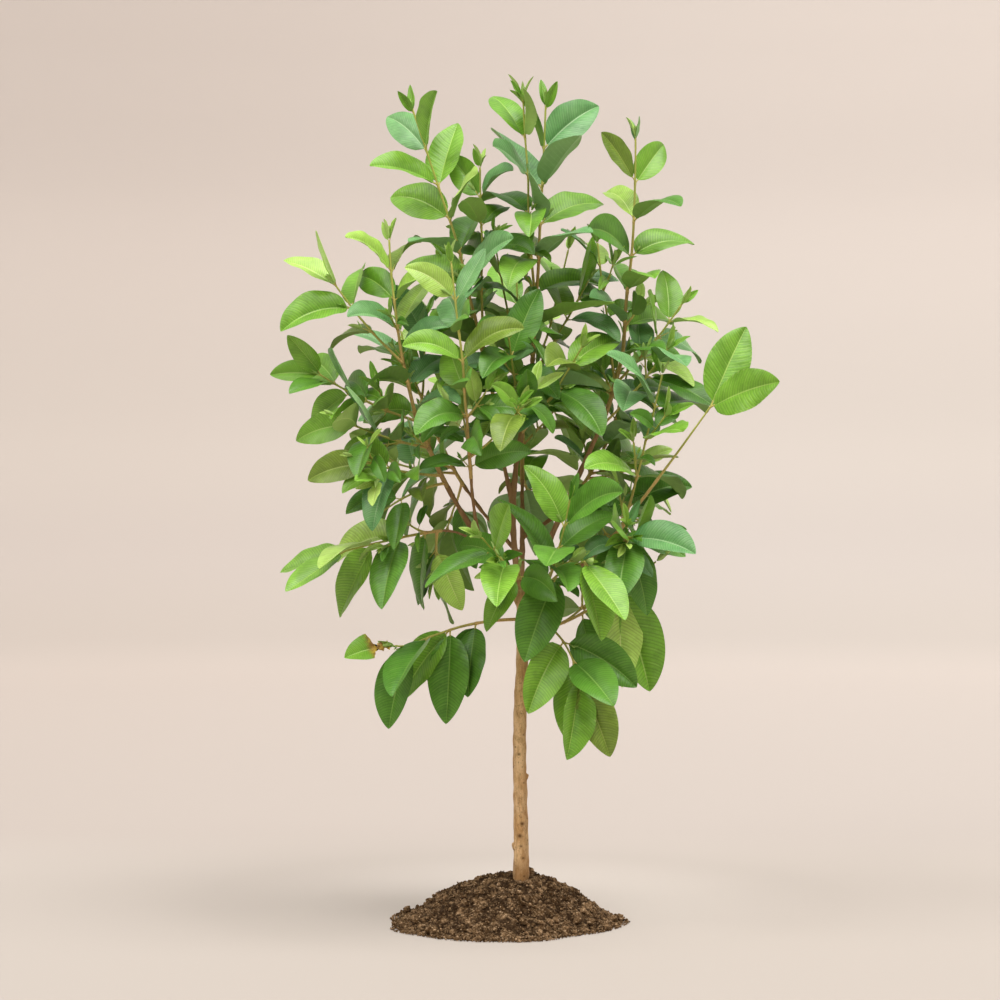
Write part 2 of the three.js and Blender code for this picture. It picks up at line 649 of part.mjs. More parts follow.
// Every leaf of a shoot that finds room. Each leaf draws the same count of numbers, found or not.
function growLeaves(grown, random, taken) {
  const { shoot } = grown;
  const budSize = shoot.bud ?? SHOOT.bud;
  const leaves = [];
  for (const [i, t] of grown.pairs.entries()) {
    const bud = i === shoot.pairs;
    const share = i / shoot.pairs;
    for (let pair = 0; pair < 2; pair++) {
      const [r1, r2, r3, r4, r5, r6] = Array.from({ length: 6 }, random);
      if (shoot.lost?.includes(2 * i + pair)) continue;
      const around = shoot.turn + i * 90 + pair * 180 + (r1 - 0.5) * STAND.aroundStray;
      const spread = between(STAND.away, share) + (r2 - 0.5) * STAND.awayStray;
      const away = bud ? BUD.away[0] + BUD.away[1] * budSize : spread;
      const [whole, linear, cubic] = STAND.size;
      const fullSize = whole + linear * share + cubic * share ** 3;
      const size = bud ? budSize : fullSize * (STAND.sizeLeast + STAND.sizeStray * r3);
      const sag = (shoot.sag ?? 0) * (1 + (r4 - 0.5) * STAND.sagStray);
      const bend = between(STAND.droop, share) * (1 + (r4 - 0.5) * STAND.droopStray);
      const droop = (bud ? BUD.droop * budSize : bend) / (1 + STAND.eased * sag);
      const roll = (r5 - 0.5) * STAND.rollStray;
      const fold = LEAF.fold * (1 + (r6 - 0.5) * STAND.foldStray);
      const common = { t: t + pair * SHOOT.stagger, length: shoot.leaf * size, droop, roll, fold, sag };
      for (const [turn, lift] of WAYS_ROUND) {
        const leaf = leafAt(grown, { ...common, around: around + turn, away: away - lift });
        const shape = { ...obstacle(leafShape(leaf, LEAF.clearance)), limb: grown.limb, pair: i };
        if (!inCrown(shape.points.at(-1))) continue;
        if (taken.some((other) => !isOwn(shape, other) && touches(shape, other))) continue;
        taken.push(shape);
        leaves.push(leaf);
        break;
      }
    }
  }
  return leaves;
}

// ---------------------------------------------------------------- the soil

// The heap without its clods, at the share r of its radius in the direction a.
function soilSlope(r, a) {
  const lumps = SOIL.lumps.reduce((sum, [count, phase, size]) => sum + size * Math.sin(count * a + phase), 0);
  const reach = SOIL.radius * r * (1 + (SOIL.lump * lumps * r) / 2);
  const [count, turn] = SOIL.bumps;
  const bumps = SOIL.bump * Math.sin(count * a + turn * r) * Math.sin(Math.PI * r);
  const [breadth, skirt] = SOIL.dome;
  const dome = (1 - r ** breadth) ** skirt + bumps;
  return vec([
    SOIL.centre[0] * r + reach * Math.cos(a),
    SOIL.centre[1] * r + reach * Math.sin(a),
    SOIL.height * Math.max(0, dome),
  ]);
}

const clods = Array.from({ length: SOIL.clods }, (_, i) => {
  const at = soilSlope(SOIL.clodReach * Math.sqrt((i + 0.5) / SOIL.clods), i * GOLDEN_ANGLE);
  return { at, radius: between(SOIL.clodSize, (i * GOLDEN_ANGLE) % 1) };
});

// The heap's surface: its slope with the highest clod at each place, which dies away at the rim.
function soilPoint(r, a) {
  const point = soilSlope(r, a);
  const rises = clods.map(({ at, radius }) => {
    const off = Math.hypot(point.x - at.x, point.y - at.y) / radius;
    return SOIL.clodRise * radius * Math.max(0, 1 - off ** 2);
  });
  point.z += Math.max(...rises) * (1 - r ** 6);
  return point;
}

function soilSolid() {
  const points = [soilPoint(0, 0), vec([...SOIL.centre, 0])];
  const triangles = [];
  const at = (ring, sector) => 2 + (ring - 1) * SOIL.sectors + (sector % SOIL.sectors);
  for (let ring = 1; ring <= SOIL.rings; ring++) {
    for (let sector = 0; sector < SOIL.sectors; sector++) {
      points.push(soilPoint(ring / SOIL.rings, (sector / SOIL.sectors) * 2 * Math.PI));
    }
  }
  for (let sector = 0; sector < SOIL.sectors; sector++) {
    triangles.push([0, at(1, sector), at(1, sector + 1)]);
    triangles.push([1, at(SOIL.rings, sector + 1), at(SOIL.rings, sector)]);
    for (let ring = 1; ring < SOIL.rings; ring++) {
      triangles.push([at(ring, sector), at(ring + 1, sector), at(ring + 1, sector + 1)]);
      triangles.push([at(ring, sector), at(ring + 1, sector + 1), at(ring, sector + 1)]);
    }
  }
  return solidFrom(points, triangles);
}

// The trunk's foot a little enlarged, with a little room under it.
function socket() {
  const room = {
    ...trunk,
    pointAt: (t) => trunk.pointAt(t).setZ(TRUNK.foot - GAP + (TRUNK.fork - TRUNK.foot) * t),
  };
  return limbSolid(room, TRUNK.sides, evenly(TRUNK.steps), GAP);
}

function knob({ height, angle, size }) {
  const t = (height - TRUNK.foot) / (TRUNK.fork - TRUNK.foot);
  const reach = trunk.radiusAt(t) - KNOB.sunk * size;
  const geometry = new THREE.SphereGeometry(size, ...KNOB.facets).scale(1, 1, KNOB.tall);
  const at = trunk.pointAt(t);
  const turn = angle * RADIANS;
  geometry.translate(at.x + reach * Math.cos(turn), at.y + reach * Math.sin(turn), at.z);
  geometry.deleteAttribute("normal");
  geometry.deleteAttribute("uv");
  return solidOf(geometry);
}

// ---------------------------------------------------------------- the tree

const tree = new THREE.Group();
tree.add(meshFrom(soilSolid().subtract(socket()), "soil_mound", soilLook()));

const trunkStations = evenly(TRUNK.steps);
const bareTrunk = limbSolid(trunk, TRUNK.sides, trunkStations);
tree.add(meshFrom(KNOBS.reduce((solid, k) => solid.add(knob(k)), bareTrunk), "trunk", barkLook()));

// A bough is cut clear of the trunk and of the boughs before it.
const boughStations = evenly(BOUGH_STEPS);
const cutters = [limbSolid(trunk, TRUNK.sides, trunkStations, GAP)];
for (const [name, limb] of Object.entries(boughs)) {
  const whole = limbSolid(limb, BOUGH_SIDES, boughStations);
  tree.add(meshFrom(cutters.reduce((left, cutter) => left.subtract(cutter), whole), name, barkLook()));
  cutters.push(limbSolid(limb, BOUGH_SIDES, boughStations, GAP));
}

// All the shoots come first, so that no leaf grows through one.
const limbObstacle = (limb, stations) => ({
  ...obstacle(limbShape(limb, SHOOT.sides, stations, LIMB_CLEARANCE)),
  limb,
});
const taken = [trunk, ...Object.values(boughs)].map((limb) => limbObstacle(limb, boughStations));
const masses = Object.entries(MASSES).map(([name, mass]) => {
  const shoots = [];
  for (const shoot of mass.shoots) shoots.push(growShoot(mass, shoot, shoots));
  for (const { limb, stations } of shoots) taken.push(limbObstacle(limb, stations));
  return { name, shoots };
});

let seed = 1;
for (const { name, shoots } of masses) {
  const leaves = shoots.flatMap((shoot) => growLeaves(shoot, seeded(seed++), taken));
  const stems = shoots.map(({ limb, stations }) => limbSolid(limb, SHOOT.sides, stations));
  tree.add(meshFrom(wasm.Manifold.union([...stems, ...leaves.map(leafSolid)]), name, leafLook()));
}

export default tree;
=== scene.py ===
"""The guava tree for Blender: bark, twigs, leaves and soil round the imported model, with its studio.

Tables and growth are in millimetres, as in the model's source, and meshes are written in metres.
"""

import math
import random

import bpy
import numpy as np
from mathutils import Matrix, Quaternion, Vector, noise


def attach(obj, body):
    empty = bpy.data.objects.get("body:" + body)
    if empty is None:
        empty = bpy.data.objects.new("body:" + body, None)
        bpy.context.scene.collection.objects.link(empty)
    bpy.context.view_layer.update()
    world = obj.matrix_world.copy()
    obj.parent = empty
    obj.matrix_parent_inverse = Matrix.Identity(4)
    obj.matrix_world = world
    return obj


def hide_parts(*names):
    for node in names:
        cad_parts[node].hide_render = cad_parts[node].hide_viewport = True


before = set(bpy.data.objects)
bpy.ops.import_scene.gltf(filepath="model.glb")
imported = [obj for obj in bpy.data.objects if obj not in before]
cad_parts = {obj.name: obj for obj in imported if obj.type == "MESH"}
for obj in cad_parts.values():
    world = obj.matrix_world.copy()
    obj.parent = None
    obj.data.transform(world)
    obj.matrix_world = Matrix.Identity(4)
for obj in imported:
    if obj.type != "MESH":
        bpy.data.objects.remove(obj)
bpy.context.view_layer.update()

MM = 0.001
UP = Vector((0, 0, 1))
FRONT = Vector((0, -1, 0))

# ---------------------------------------------------------------- the source's sizes

SOIL = dict(
    centre=(-23, 0),
    radius=156,
    height=66,
    sectors=52,
    rings=12,
    lump=0.075,
    lumps=((3, 1, 1), (5, 2.2, 0.7), (9, 0.6, 0.5)),
    bump=0.05,
    bumps=(7, 11),
    dome=(2.1, 1.5),
    clods=60,
    clod_size=(11, 23),
    clod_rise=0.42,
    clod_reach=0.94,
)
TRUNK = dict(
    foot=14,
    fork=462,
    foot_radius=11.2,
    fork_radius=7.6,
    flare=5,
    flare_height=26,
    sway=1.6,
    bends=(9, 7),
    lean=2,
)
KNOBS = [dict(height=108, angle=180, size=3.4), dict(height=205, angle=0, size=3.0)]

# Each bough: what it leaves from and at which share of its length, the point that its curve bends
# towards, its tip, and its radii at both ends.
BOUGHS = {
    "bough_centre": ("trunk", 0.985, (-20, 4, 560), (-2, 12, 660), (5.4, 3.6)),
    "bough_left": ("trunk", 0.955, (-66, -20, 545), (-101, -30, 609), (5.0, 3.2)),
    "bough_right": ("trunk", 0.97, (62, 16, 580), (112, 26, 690), (5.0, 3.2)),
    "bough_low_right": ("trunk", 0.93, (60, -14, 478), (128, -45, 540), (4.2, 3.0)),
    "bough_back": ("trunk", 0.94, (4, 70, 530), (4, 108, 620), (4.6, 3.0)),
    "bough_top_left": ("bough_centre", 0.62, (-28, 8, 660), (-34, 12, 712), (3.1, 2.6)),
    "bough_front": ("bough_left", 0.48, (-66, -48, 580), (-68, -66, 624), (2.9, 2.3)),
    "bough_low_left": ("bough_left", 0.34, (-72, -22, 552), (-112, -32, 548), (2.3, 1.9)),
    "bough_back_left": ("bough_back", 0.4, (-46, 68, 560), (-80, 84, 612), (3.2, 2.5)),
    "bough_back_right": ("bough_back", 0.55, (50, 86, 560), (86, 98, 606), (3.2, 2.5)),
}


def leader(tip, pairs, leaf, turn, bare, **more):
    """A shoot's tip, its pairs of leaves below the last one, its longest leaf, its first pair's turn in
    degrees, and the share of its length without leaves. Fallen leaves are listed as lost."""
    return dict(tip=tip, pairs=pairs, leaf=leaf, turn=turn, bare=bare, **more)


def branch(at, *row, **more):
    """The same for a shoot that leaves the mass's first one at that share of its length."""
    return dict(leader(*row, **more), on=0, at=at)


def foliage(carrier, *shoots, **stem):
    """What carries a mass and its shoots. A stem on the trunk also has its height and radius."""
    return dict(carrier=carrier, shoots=shoots, **stem)


MASSES = {
    "crown_left": foliage(
        "bough_left",
        leader((-181, -50, 950), 7, 86, 50, 0.2),
        branch(0.56, (-254, -62, 886), 2, 96, 30, 0.45, bud=0.85),
        branch(0.32, (-276, -50, 764), 4, 84, 60, 0.3, bud=0.8),
        branch(0.2, (-250, -90, 704), 3, 92, 20, 0.3, bud=0.6),
        branch(0.06, (-226, -116, 650), 3, 84, 30, 0.3, bud=0.6),
        branch(0.02, (-188, -74, 576), 2, 76, 40, 0.35, arch=0.12),
        branch(0.3, (-132, 40, 850), 3, 86, 50, 0.3),
    ),
    "crown_front": foliage(
        "bough_front",
        leader((-94, -112, 912), 7, 84, 10, 0.06, lead=0.3),
        branch(0.14, (0, -136, 714), 1, 92, 20, 0.9),
    ),
    "crown_top_left": foliage(
        "bough_top_left",
        leader((-150, -10, 1136), 8, 106, 40, 0.16, lead=0.3, front=0.8),
        branch(0.3, (-56, 0, 1056), 4, 78, 50, 0.35),
        branch(0.2, (-84, 96, 920), 3, 88, 60, 0.3),
    ),
    "crown_top": foliage(
        "bough_centre",
        leader((36, 4, 1144), 9, 112, 40, 0.12, lead=0.3, bud=0.36),
        branch(0.52, (4, -24, 1150), 4, 96, 50, 0.25, bud=0.3),
        branch(0.3, (96, 26, 900), 3, 84, 60, 0.4),
        branch(0.08, (84, -60, 800), 3, 94, 20, 0.3),
        branch(0.12, (-16, -84, 812), 3, 88, 70, 0.4),
        branch(0.2, (70, 100, 950), 3, 92, 0, 0.3),
        branch(0.24, (-36, 90, 962), 3, 92, 40, 0.3),
    ),
    "crown_right": foliage(
        "bough_right",
        leader((162, 4, 1098), 7, 92, 30, 0.2, lead=0.3),
        branch(0.24, (110, 40, 954), 3, 78, 50, 0.5),
        branch(0.24, (226, 10, 864), 3, 84, 60, 0.4),
        branch(0.02, (204, -22, 800), 3, 100, 10, 0.5),
        branch(0.08, (150, 116, 830), 3, 88, 10, 0.3),
    ),
    "crown_right_arm": foliage(
        "bough_low_right",
        leader((262, -92, 722), 1, 122, -58, 0.62, lead=0.1, bud=1, sag=0.2, front=3, lost=(0, 1)),
        branch(0.24, (196, -50, 764), 3, 108, 40, 0.35),
        branch(0.04, (152, -90, 540), 3, 96, 30, 0.35, sag=0.6),
        branch(0.16, (166, 70, 612), 3, 90, 50, 0.3),
    ),
    "crown_low_front": foliage(
        "trunk",
        leader((66, -136, 590), 4, 104, 40, 0.4, lead=0.4),
        branch(0.3, (-52, -130, 540), 3, 94, 40, 0.35, sag=0.4),
        branch(0.4, (86, -140, 508), 1, 124, 10, 0.3, arch=0.1, bud=0.85, sag=1.4, front=1, lost=(1,)),
        at=450,
        radius=2.2,
    ),
    "crown_low_right": foliage(
        "trunk",
        leader((186, -66, 506), 2, 132, 40, 0.5, lead=0.3, bud=0.6, sag=2.6, front=1, lost=(0,)),
        branch(0.36, (150, 84, 500), 3, 98, 30, 0.3, sag=0.9),
        at=408,
        radius=2.4,
    ),
    "crown_skirt_right": foliage(
        "trunk",
        leader((80, -118, 346), 2, 112, 10, 0.6, lead=0.6, bud=0.95, sag=0.55, front=1.2),
        at=426,
        radius=1.9,
    ),
    "crown_skirt_left": foliage(
        "trunk",
        leader((-156, -48, 388), 3, 116, 20, 0.36, lead=0.5, bud=0.95, sag=1.3, front=1.6, lost=(6,)),
        branch(0.97, (-172, -56, 390), 1, 76, 0, 0.5, bud=0.8, sag=1.1, front=2, lost=(0, 1, 2)),
        at=424,
        radius=2.1,
    ),
    "crown_low_left": foliage(
        "bough_low_left",
        leader((-244, -50, 520), 3, 110, 60, 0.2, lead=0.3, bud=0.9, sag=0.2),
        branch(0.04, (-118, -24, 490), 2, 96, 20, 0.4, sag=1),
    ),
    "crown_back": foliage(
        "bough_back",
        leader((-4, 176, 920), 6, 96, 30, 0.14),
        branch(0.2, (84, 214, 770), 3, 94, 0, 0.3, bud=0.6),
        branch(0.12, (-84, 210, 750), 3, 94, 40, 0.3, bud=0.6),
        branch(0.02, (20, 230, 600), 3, 100, 70, 0.3, bud=0.6),
    ),
    "crown_back_left": foliage(
        "bough_back_left",
        leader((-172, 136, 836), 5, 90, 0, 0.14),
        branch(0.1, (-196, 150, 650), 3, 94, 30, 0.3, bud=0.6),
        branch(0.02, (-110, 180, 540), 3, 98, 60, 0.3, sag=0.7),
    ),
    "crown_back_right": foliage(
        "bough_back_right",
        leader((164, 142, 826), 5, 90, 20, 0.14),
        branch(0.1, (172, 160, 640), 3, 94, 50, 0.3, bud=0.6),
        branch(0.02, (136, 178, 530), 3, 98, 0, 0.3, sag=0.7),
    ),
}

CROWN = dict(low=226, high=1186, middle=(6, 20), reach=(440, 320))
SHOOT = dict(
    tip_radius=0.9,
    side_radius=1.7,
    last_pair=0.985,
    closing=0.85,
    stagger=0.006,
    lead=0.42,
    arch=-0.08,
    bud=0.34,
)
LEAF = dict(
    steps=12,
    rings=(3, 8),
    petiole=7,
    petiole_radius=0.9,
    neck=1.5,
    sunk=0.4,
    half_width=0.25,
    thickness=0.016,
    clearance=2.4,
    base_roundness=0.62,
    tip_roundness=0.8,
    fold=23,
)
STAND = dict(
    away=(68, 35),
    away_stray=16,
    around_stray=30,
    roll_stray=50,
    droop=(0.95, 0.55),
    droop_stray=1,
    sag_stray=1.2,
    eased=0.5,
    fold_stray=1,
    size=(0.97, 0.3, -0.4),
    size_least=0.88,
    size_stray=0.2,
)
BUD = dict(away=(16, 12), droop=0.4)
FACING = dict(along=0.35, up=0.7, outward=0.4, front=0.55)
# Turn and lift in degrees, tried in this order until a leaf touches nothing.
WAYS_ROUND = (
    (0, 0), (16, 0), (-16, 0), (0, 14), (0, -14),
    (30, 6), (-30, 6), (30, -12), (-30, -12), (48, 10), (-48, 10),
)
LIMB_CLEARANCE = 0.8  # extra radius of a limb when leaves are tested against it
LIMB_STEPS = 6  # stretches of a bough, or of the trunk, when leaves are tested against it
GAP = 0.3  # between a mass's stem and what carries it

# ---------------------------------------------------------------- the source's rule


def seeded(seed):
    """The same stream of numbers from 0 to 1 for the same seed, as in the source."""
    state = seed * 7919 + 12345

    def draw():
        nonlocal state
        state = state * 16807 % 2147483647
        return state / 2147483647

    return draw


def square_to(v, d):
    return (v - d * v.dot(d)).normalized()


def out_from(along, side, degrees):
    """The way square to along, that many degrees round it from side."""
    e1 = square_to(side, along)
    a = math.radians(degrees)
    return e1 * math.cos(a) + along.cross(e1) * math.sin(a)


def between(ends, share):
    return ends[0] + (ends[1] - ends[0]) * share


def evenly(steps):
    return [s / steps for s in range(steps + 1)]


def trunk_share(height):
    """The share of the trunk's length at that height."""
    return (height - TRUNK["foot"]) / (TRUNK["fork"] - TRUNK["foot"])


def trunk_side(share, a, sunk=0.0):
    """The point on the trunk's side in the direction a, or that far inside it."""
    return trunk.point(share) + Vector((math.cos(a), math.sin(a), 0)) * (trunk.radius(share) - sunk)


class Trunk:
    def point(self, t):
        z = TRUNK["foot"] + (TRUNK["fork"] - TRUNK["foot"]) * t
        sway, bends = TRUNK["sway"], TRUNK["bends"]
        x = sway * math.sin(t * bends[0]) + TRUNK["lean"] * t
        return Vector((x, sway * math.cos(t * bends[1]), z))

    def direction(self, t):
        return UP.copy()

    def radius(self, t):
        above = (TRUNK["fork"] - TRUNK["foot"]) * t
        taper = TRUNK["foot_radius"] + (TRUNK["fork_radius"] - TRUNK["foot_radius"]) * t
        return taper + TRUNK["flare"] * math.exp(-above / TRUNK["flare_height"])


class Limb:
    """A tapering limb along a curve of one bend. With stations, `point` runs straight between them."""

    def __init__(self, start, bend, end, radii, stations=None):
        self.start, self.bend, self.end, self.radii, self.stations = start, bend, end, radii, stations

    def curve(self, t):
        return self.start * (1 - t) ** 2 + self.bend * (2 * t * (1 - t)) + self.end * t ** 2

    def point(self, t):
        if self.stations is None:
            return self.curve(t)
        following = max(1, next(i for i, s in enumerate(self.stations) if s >= t))
        a, b = self.stations[following - 1], self.stations[following]
        return self.curve(a).lerp(self.curve(b), (t - a) / (b - a))

    def direction(self, t):
        return (self.bend - self.start).lerp(self.end - self.bend, t).normalized()

    def radius(self, t):
        return self.radii[0] + (self.radii[1] - self.radii[0]) * t


trunk = Trunk()
boughs = {}
for bough_name, (on, at, bend, tip, radii) in BOUGHS.items():
    parent = trunk if on == "trunk" else boughs[on]
    boughs[bough_name] = Limb(parent.point(at), Vector(bend), Vector(tip), radii)


def ring_triangles(rings, count):
    triangles = [(0, i, i - 1) for i in range(2, count)]
    for r in range(1, rings):
        for i in range(count):
            a = (r - 1) * count + i
            b = (r - 1) * count + (i + 1) % count
            triangles += [(a, b, b + count), (a, b + count, a + count)]
    last = (rings - 1) * count
    return triangles + [(last, last + i - 1, last + i) for i in range(2, count)]


def edges_of(triangles):
    pairs = {(min(i, j), max(i, j)) for a, b, c in triangles for i, j in ((a, b), (b, c), (c, a))}
    return np.array(sorted(pairs))


class Obstacle:
    """A closed shape that a leaf may not pass through. `limb` and `pair` say whose it is."""

    def __init__(self, points, triangles, edges, limb, pair=None):
        self.points = np.array([tuple(p) for p in points])
        self.triangles, self.edges, self.limb, self.pair = triangles, edges, limb, pair
        self.low, self.high = self.points.min(0), self.points.max(0)


def edges_pierce(one, other):
    """Whether an edge of one shape passes through a triangle of the other."""
    p = one.points[one.edges[:, 0]][:, None]
    pq = one.points[one.edges[:, 1]][:, None] - p
    a = other.points[other.triangles[:, 0]][None]
    ab = other.points[other.triangles[:, 1]][None] - a
    ac = other.points[other.triangles[:, 2]][None] - a
    h = np.cross(pq, ac)
    det = (ab * h).sum(-1)
    flat = np.abs(det) < 1e-12
    det = np.where(flat, 1, det)
    ap = p - a
    u = (ap * h).sum(-1) / det
    k = np.cross(ap, ab)
    v = (pq * k).sum(-1) / det
    t = (ac * k).sum(-1) / det
    return bool((~flat & (u >= 0) & (u <= 1) & (v >= 0) & (u + v <= 1) & (t >= 0) & (t <= 1)).any())


def limb_obstacle(limb, stations):
    """A limb as a prism of few sides, a little thicker than it is."""
    sides = 3
    middle = limb.direction(0.5)
    reference = middle.cross(Vector((1, 0, 0)) if abs(middle.z) > 0.8 else UP)
    points = []
    for t in stations:
        d = limb.direction(t)
        e1 = square_to(reference, d)
        e2 = d.cross(e1)
        radius = limb.radius(t) + LIMB_CLEARANCE
        for i in range(sides):
            a = i / sides * 2 * math.pi
            points.append(limb.point(t) + e1 * (radius * math.cos(a)) + e2 * (radius * math.sin(a)))
    triangles = ring_triangles(len(stations), sides)
    return Obstacle(points, np.array(triangles), edges_of(triangles), limb)


WIDEST = LEAF["base_roundness"] / (LEAF["base_roundness"] + LEAF["tip_roundness"])
OUTLINE_PEAK = WIDEST ** LEAF["base_roundness"] * (1 - WIDEST) ** LEAF["tip_roundness"]


def outline(t):
    """The blade's half-width at the share t of its length, from 0 to 1."""
    return t ** LEAF["base_roundness"] * (1 - t) ** LEAF["tip_roundness"] / OUTLINE_PEAK


def leaf_spine(leaf, steps, sway=0.0, curl=0.0):
    """The midrib's points, directions and normals, bent sideways by sway and down at its end by curl."""
    d = leaf["direction"].copy()
    n = leaf["normal"].copy()
    p = leaf["root"] + d * LEAF["petiole"]
    spine = []
    for step in range(steps + 1):
        spine.append((p.copy(), d.copy(), n.copy()))
        p += d * (leaf["length"] / steps)
        bend = d.cross(n) * sway - n * (2 * curl * step / steps)
        d = (d - UP * (leaf["droop"] / steps) + bend / steps).normalized()
        n = square_to(n, d)
    return spine


LEAF_TRIANGLES = [(0, 2, 1), (0, 3, 2), (0, 1, 3)]
LEAF_TRIANGLES += [(1, 2, 5), (1, 5, 4), (2, 6, 5), (2, 3, 6), (3, 7, 6), (3, 1, 7), (1, 4, 7)]
for corner in range(4):
    following = (corner + 1) % 4
    LEAF_TRIANGLES += [(4 + corner, 4 + following, 8 + following), (4 + corner, 8 + following, 8 + corner)]
LEAF_TRIANGLES += [(12, 8 + corner, 8 + (corner + 1) % 4) for corner in range(4)]
LEAF_EDGES = edges_of(LEAF_TRIANGLES)
LEAF_TRIANGLES = np.array(LEAF_TRIANGLES)


def leaf_obstacle(leaf, limb, pair):
    """A leaf as the solid has it, a little thicker."""
    extra = LEAF["clearance"]
    spine = leaf_spine(leaf, LEAF["steps"])
    direction, normal, limb_radius = leaf["direction"], leaf["normal"], leaf["limb_radius"]
    neck = leaf["root"] + direction * (limb_radius + LEAF["neck"])
    side = direction.cross(normal)
    radius = LEAF["petiole_radius"] + extra / 4
    points = [leaf["root"] - direction * (LEAF["sunk"] * limb_radius)]
    for angle in (150, 30, 270):
        a = math.radians(angle)
        points.append(neck + side * (radius * math.cos(a)) + normal * (radius * math.sin(a)))
    thickness = leaf["length"] * LEAF["thickness"] + extra
    for s in LEAF["rings"]:
        p, d, n = spine[s]
        half = leaf["length"] * LEAF["half_width"] * outline(s / LEAF["steps"])
        rise = n * (half * math.tan(math.radians(leaf["fold"])))
        across = d.cross(n) * half
        points += [p - across + rise, p + n * (thickness / 2), p + across + rise, p - n * (thickness / 2)]
    points.append(spine[-1][0])
    return Obstacle(points, LEAF_TRIANGLES, LEAF_EDGES, limb, pair)


def stem_start(mass, tip):
    """Where a mass's stem begins, its way there and its radius."""
    if mass["carrier"] == "trunk":
        share = trunk_share(mass["at"])
        direction = Vector((tip.x, tip.y, 0)).normalized()
        return trunk.point(share) + direction * (trunk.radius(share) + GAP), direction, mass["radius"]
    carrier = boughs[mass["carrier"]]
    direction = carrier.direction(1)
    return carrier.point(1) + direction * GAP, direction, carrier.radius(1)


def grow_shoot(mass, shoot, grown):
    """A shoot's limb, the shares of its length where its pairs of leaves stand, and its stations."""
    tip = Vector(shoot["tip"])
    if grown:
        parent = grown[shoot["on"]]["limb"]
        radius = min(SHOOT["side_radius"], 0.9 * parent.radius(shoot["at"]))
        start = parent.point(shoot["at"])
        bend = start.lerp(tip, 0.5)
        bend.z += shoot.get("arch", SHOOT["arch"]) * (tip - start).length
    else:
        start, direction, radius = stem_start(mass, tip)
        bend = start + direction * (shoot.get("lead", SHOOT["lead"]) * (tip - start).length)
    along = (tip - start).normalized()
    side = along.cross(Vector((0, 1, 0)) if abs(along.z) > 0.8 else UP).normalized()
    bare = shoot["bare"]
    shares = evenly(shoot["pairs"])
    pairs = [between((bare, SHOOT["last_pair"]), share ** SHOOT["closing"]) for share in shares]
    gaps = [(t + (pairs[i - 1] if i else 0)) / 2 for i, t in enumerate(pairs)][1::2]
    stations = [0, *gaps, 1]
    limb = Limb(start, bend, tip, (radius, SHOOT["tip_radius"]), stations)
    return dict(limb=limb, side=side, shoot=shoot, pairs=pairs, stations=stations)


def leaf_at(grown, t, around, away, length, droop, roll, fold, sag):
    """A leaf at the share t of a shoot, turned round it and away from it by those angles."""
    limb = grown["limb"]
    along = limb.direction(t)
    away = math.radians(away)
    out = out_from(along, grown["side"], around)
    direction = (along * math.cos(away) + out * math.sin(away) - UP * sag).normalized()
    root = limb.point(t)
    radial = Vector((root.x, root.y, 0)).normalized()
    front = grown["shoot"].get("front", FACING["front"])
    facing = along * FACING["along"] + UP * FACING["up"] + radial * FACING["outward"] + FRONT * front
    normal = square_to(facing, direction)
    normal.rotate(Quaternion(direction, math.radians(roll)))
    own = dict(root=root, limb_radius=limb.radius(t), direction=direction, normal=normal, t=t, along=along)
    return dict(own, length=length, droop=droop, fold=fold)


def in_crown(p):
    across = (p[0] - CROWN["middle"][0]) / CROWN["reach"][0]
    along = (p[1] - CROWN["middle"][1]) / CROWN["reach"][1]
    return CROWN["low"] < p[2] < CROWN["high"] and across ** 2 + along ** 2 < 1


class Taken:
    """Everything that stands already, with its boxes in arrays so that most is passed over at once."""

    def __init__(self):
        self.shapes = []
        self.lows = np.zeros((4000, 3))
        self.highs = np.zeros((4000, 3))

    def add(self, shape):
        self.lows[len(self.shapes)] = shape.low
        self.highs[len(self.shapes)] = shape.high
        self.shapes.append(shape)

    def touched(self, shape):
        count = len(self.shapes)
        near = (self.lows[:count] <= shape.high).all(1) & (self.highs[:count] >= shape.low).all(1)
        for i in np.flatnonzero(near):
            other = self.shapes[i]
            own = other.limb is shape.limb and (other.pair is None or other.pair == shape.pair)
            if not own and (edges_pierce(shape, other) or edges_pierce(other, shape)):
                return True
        return False


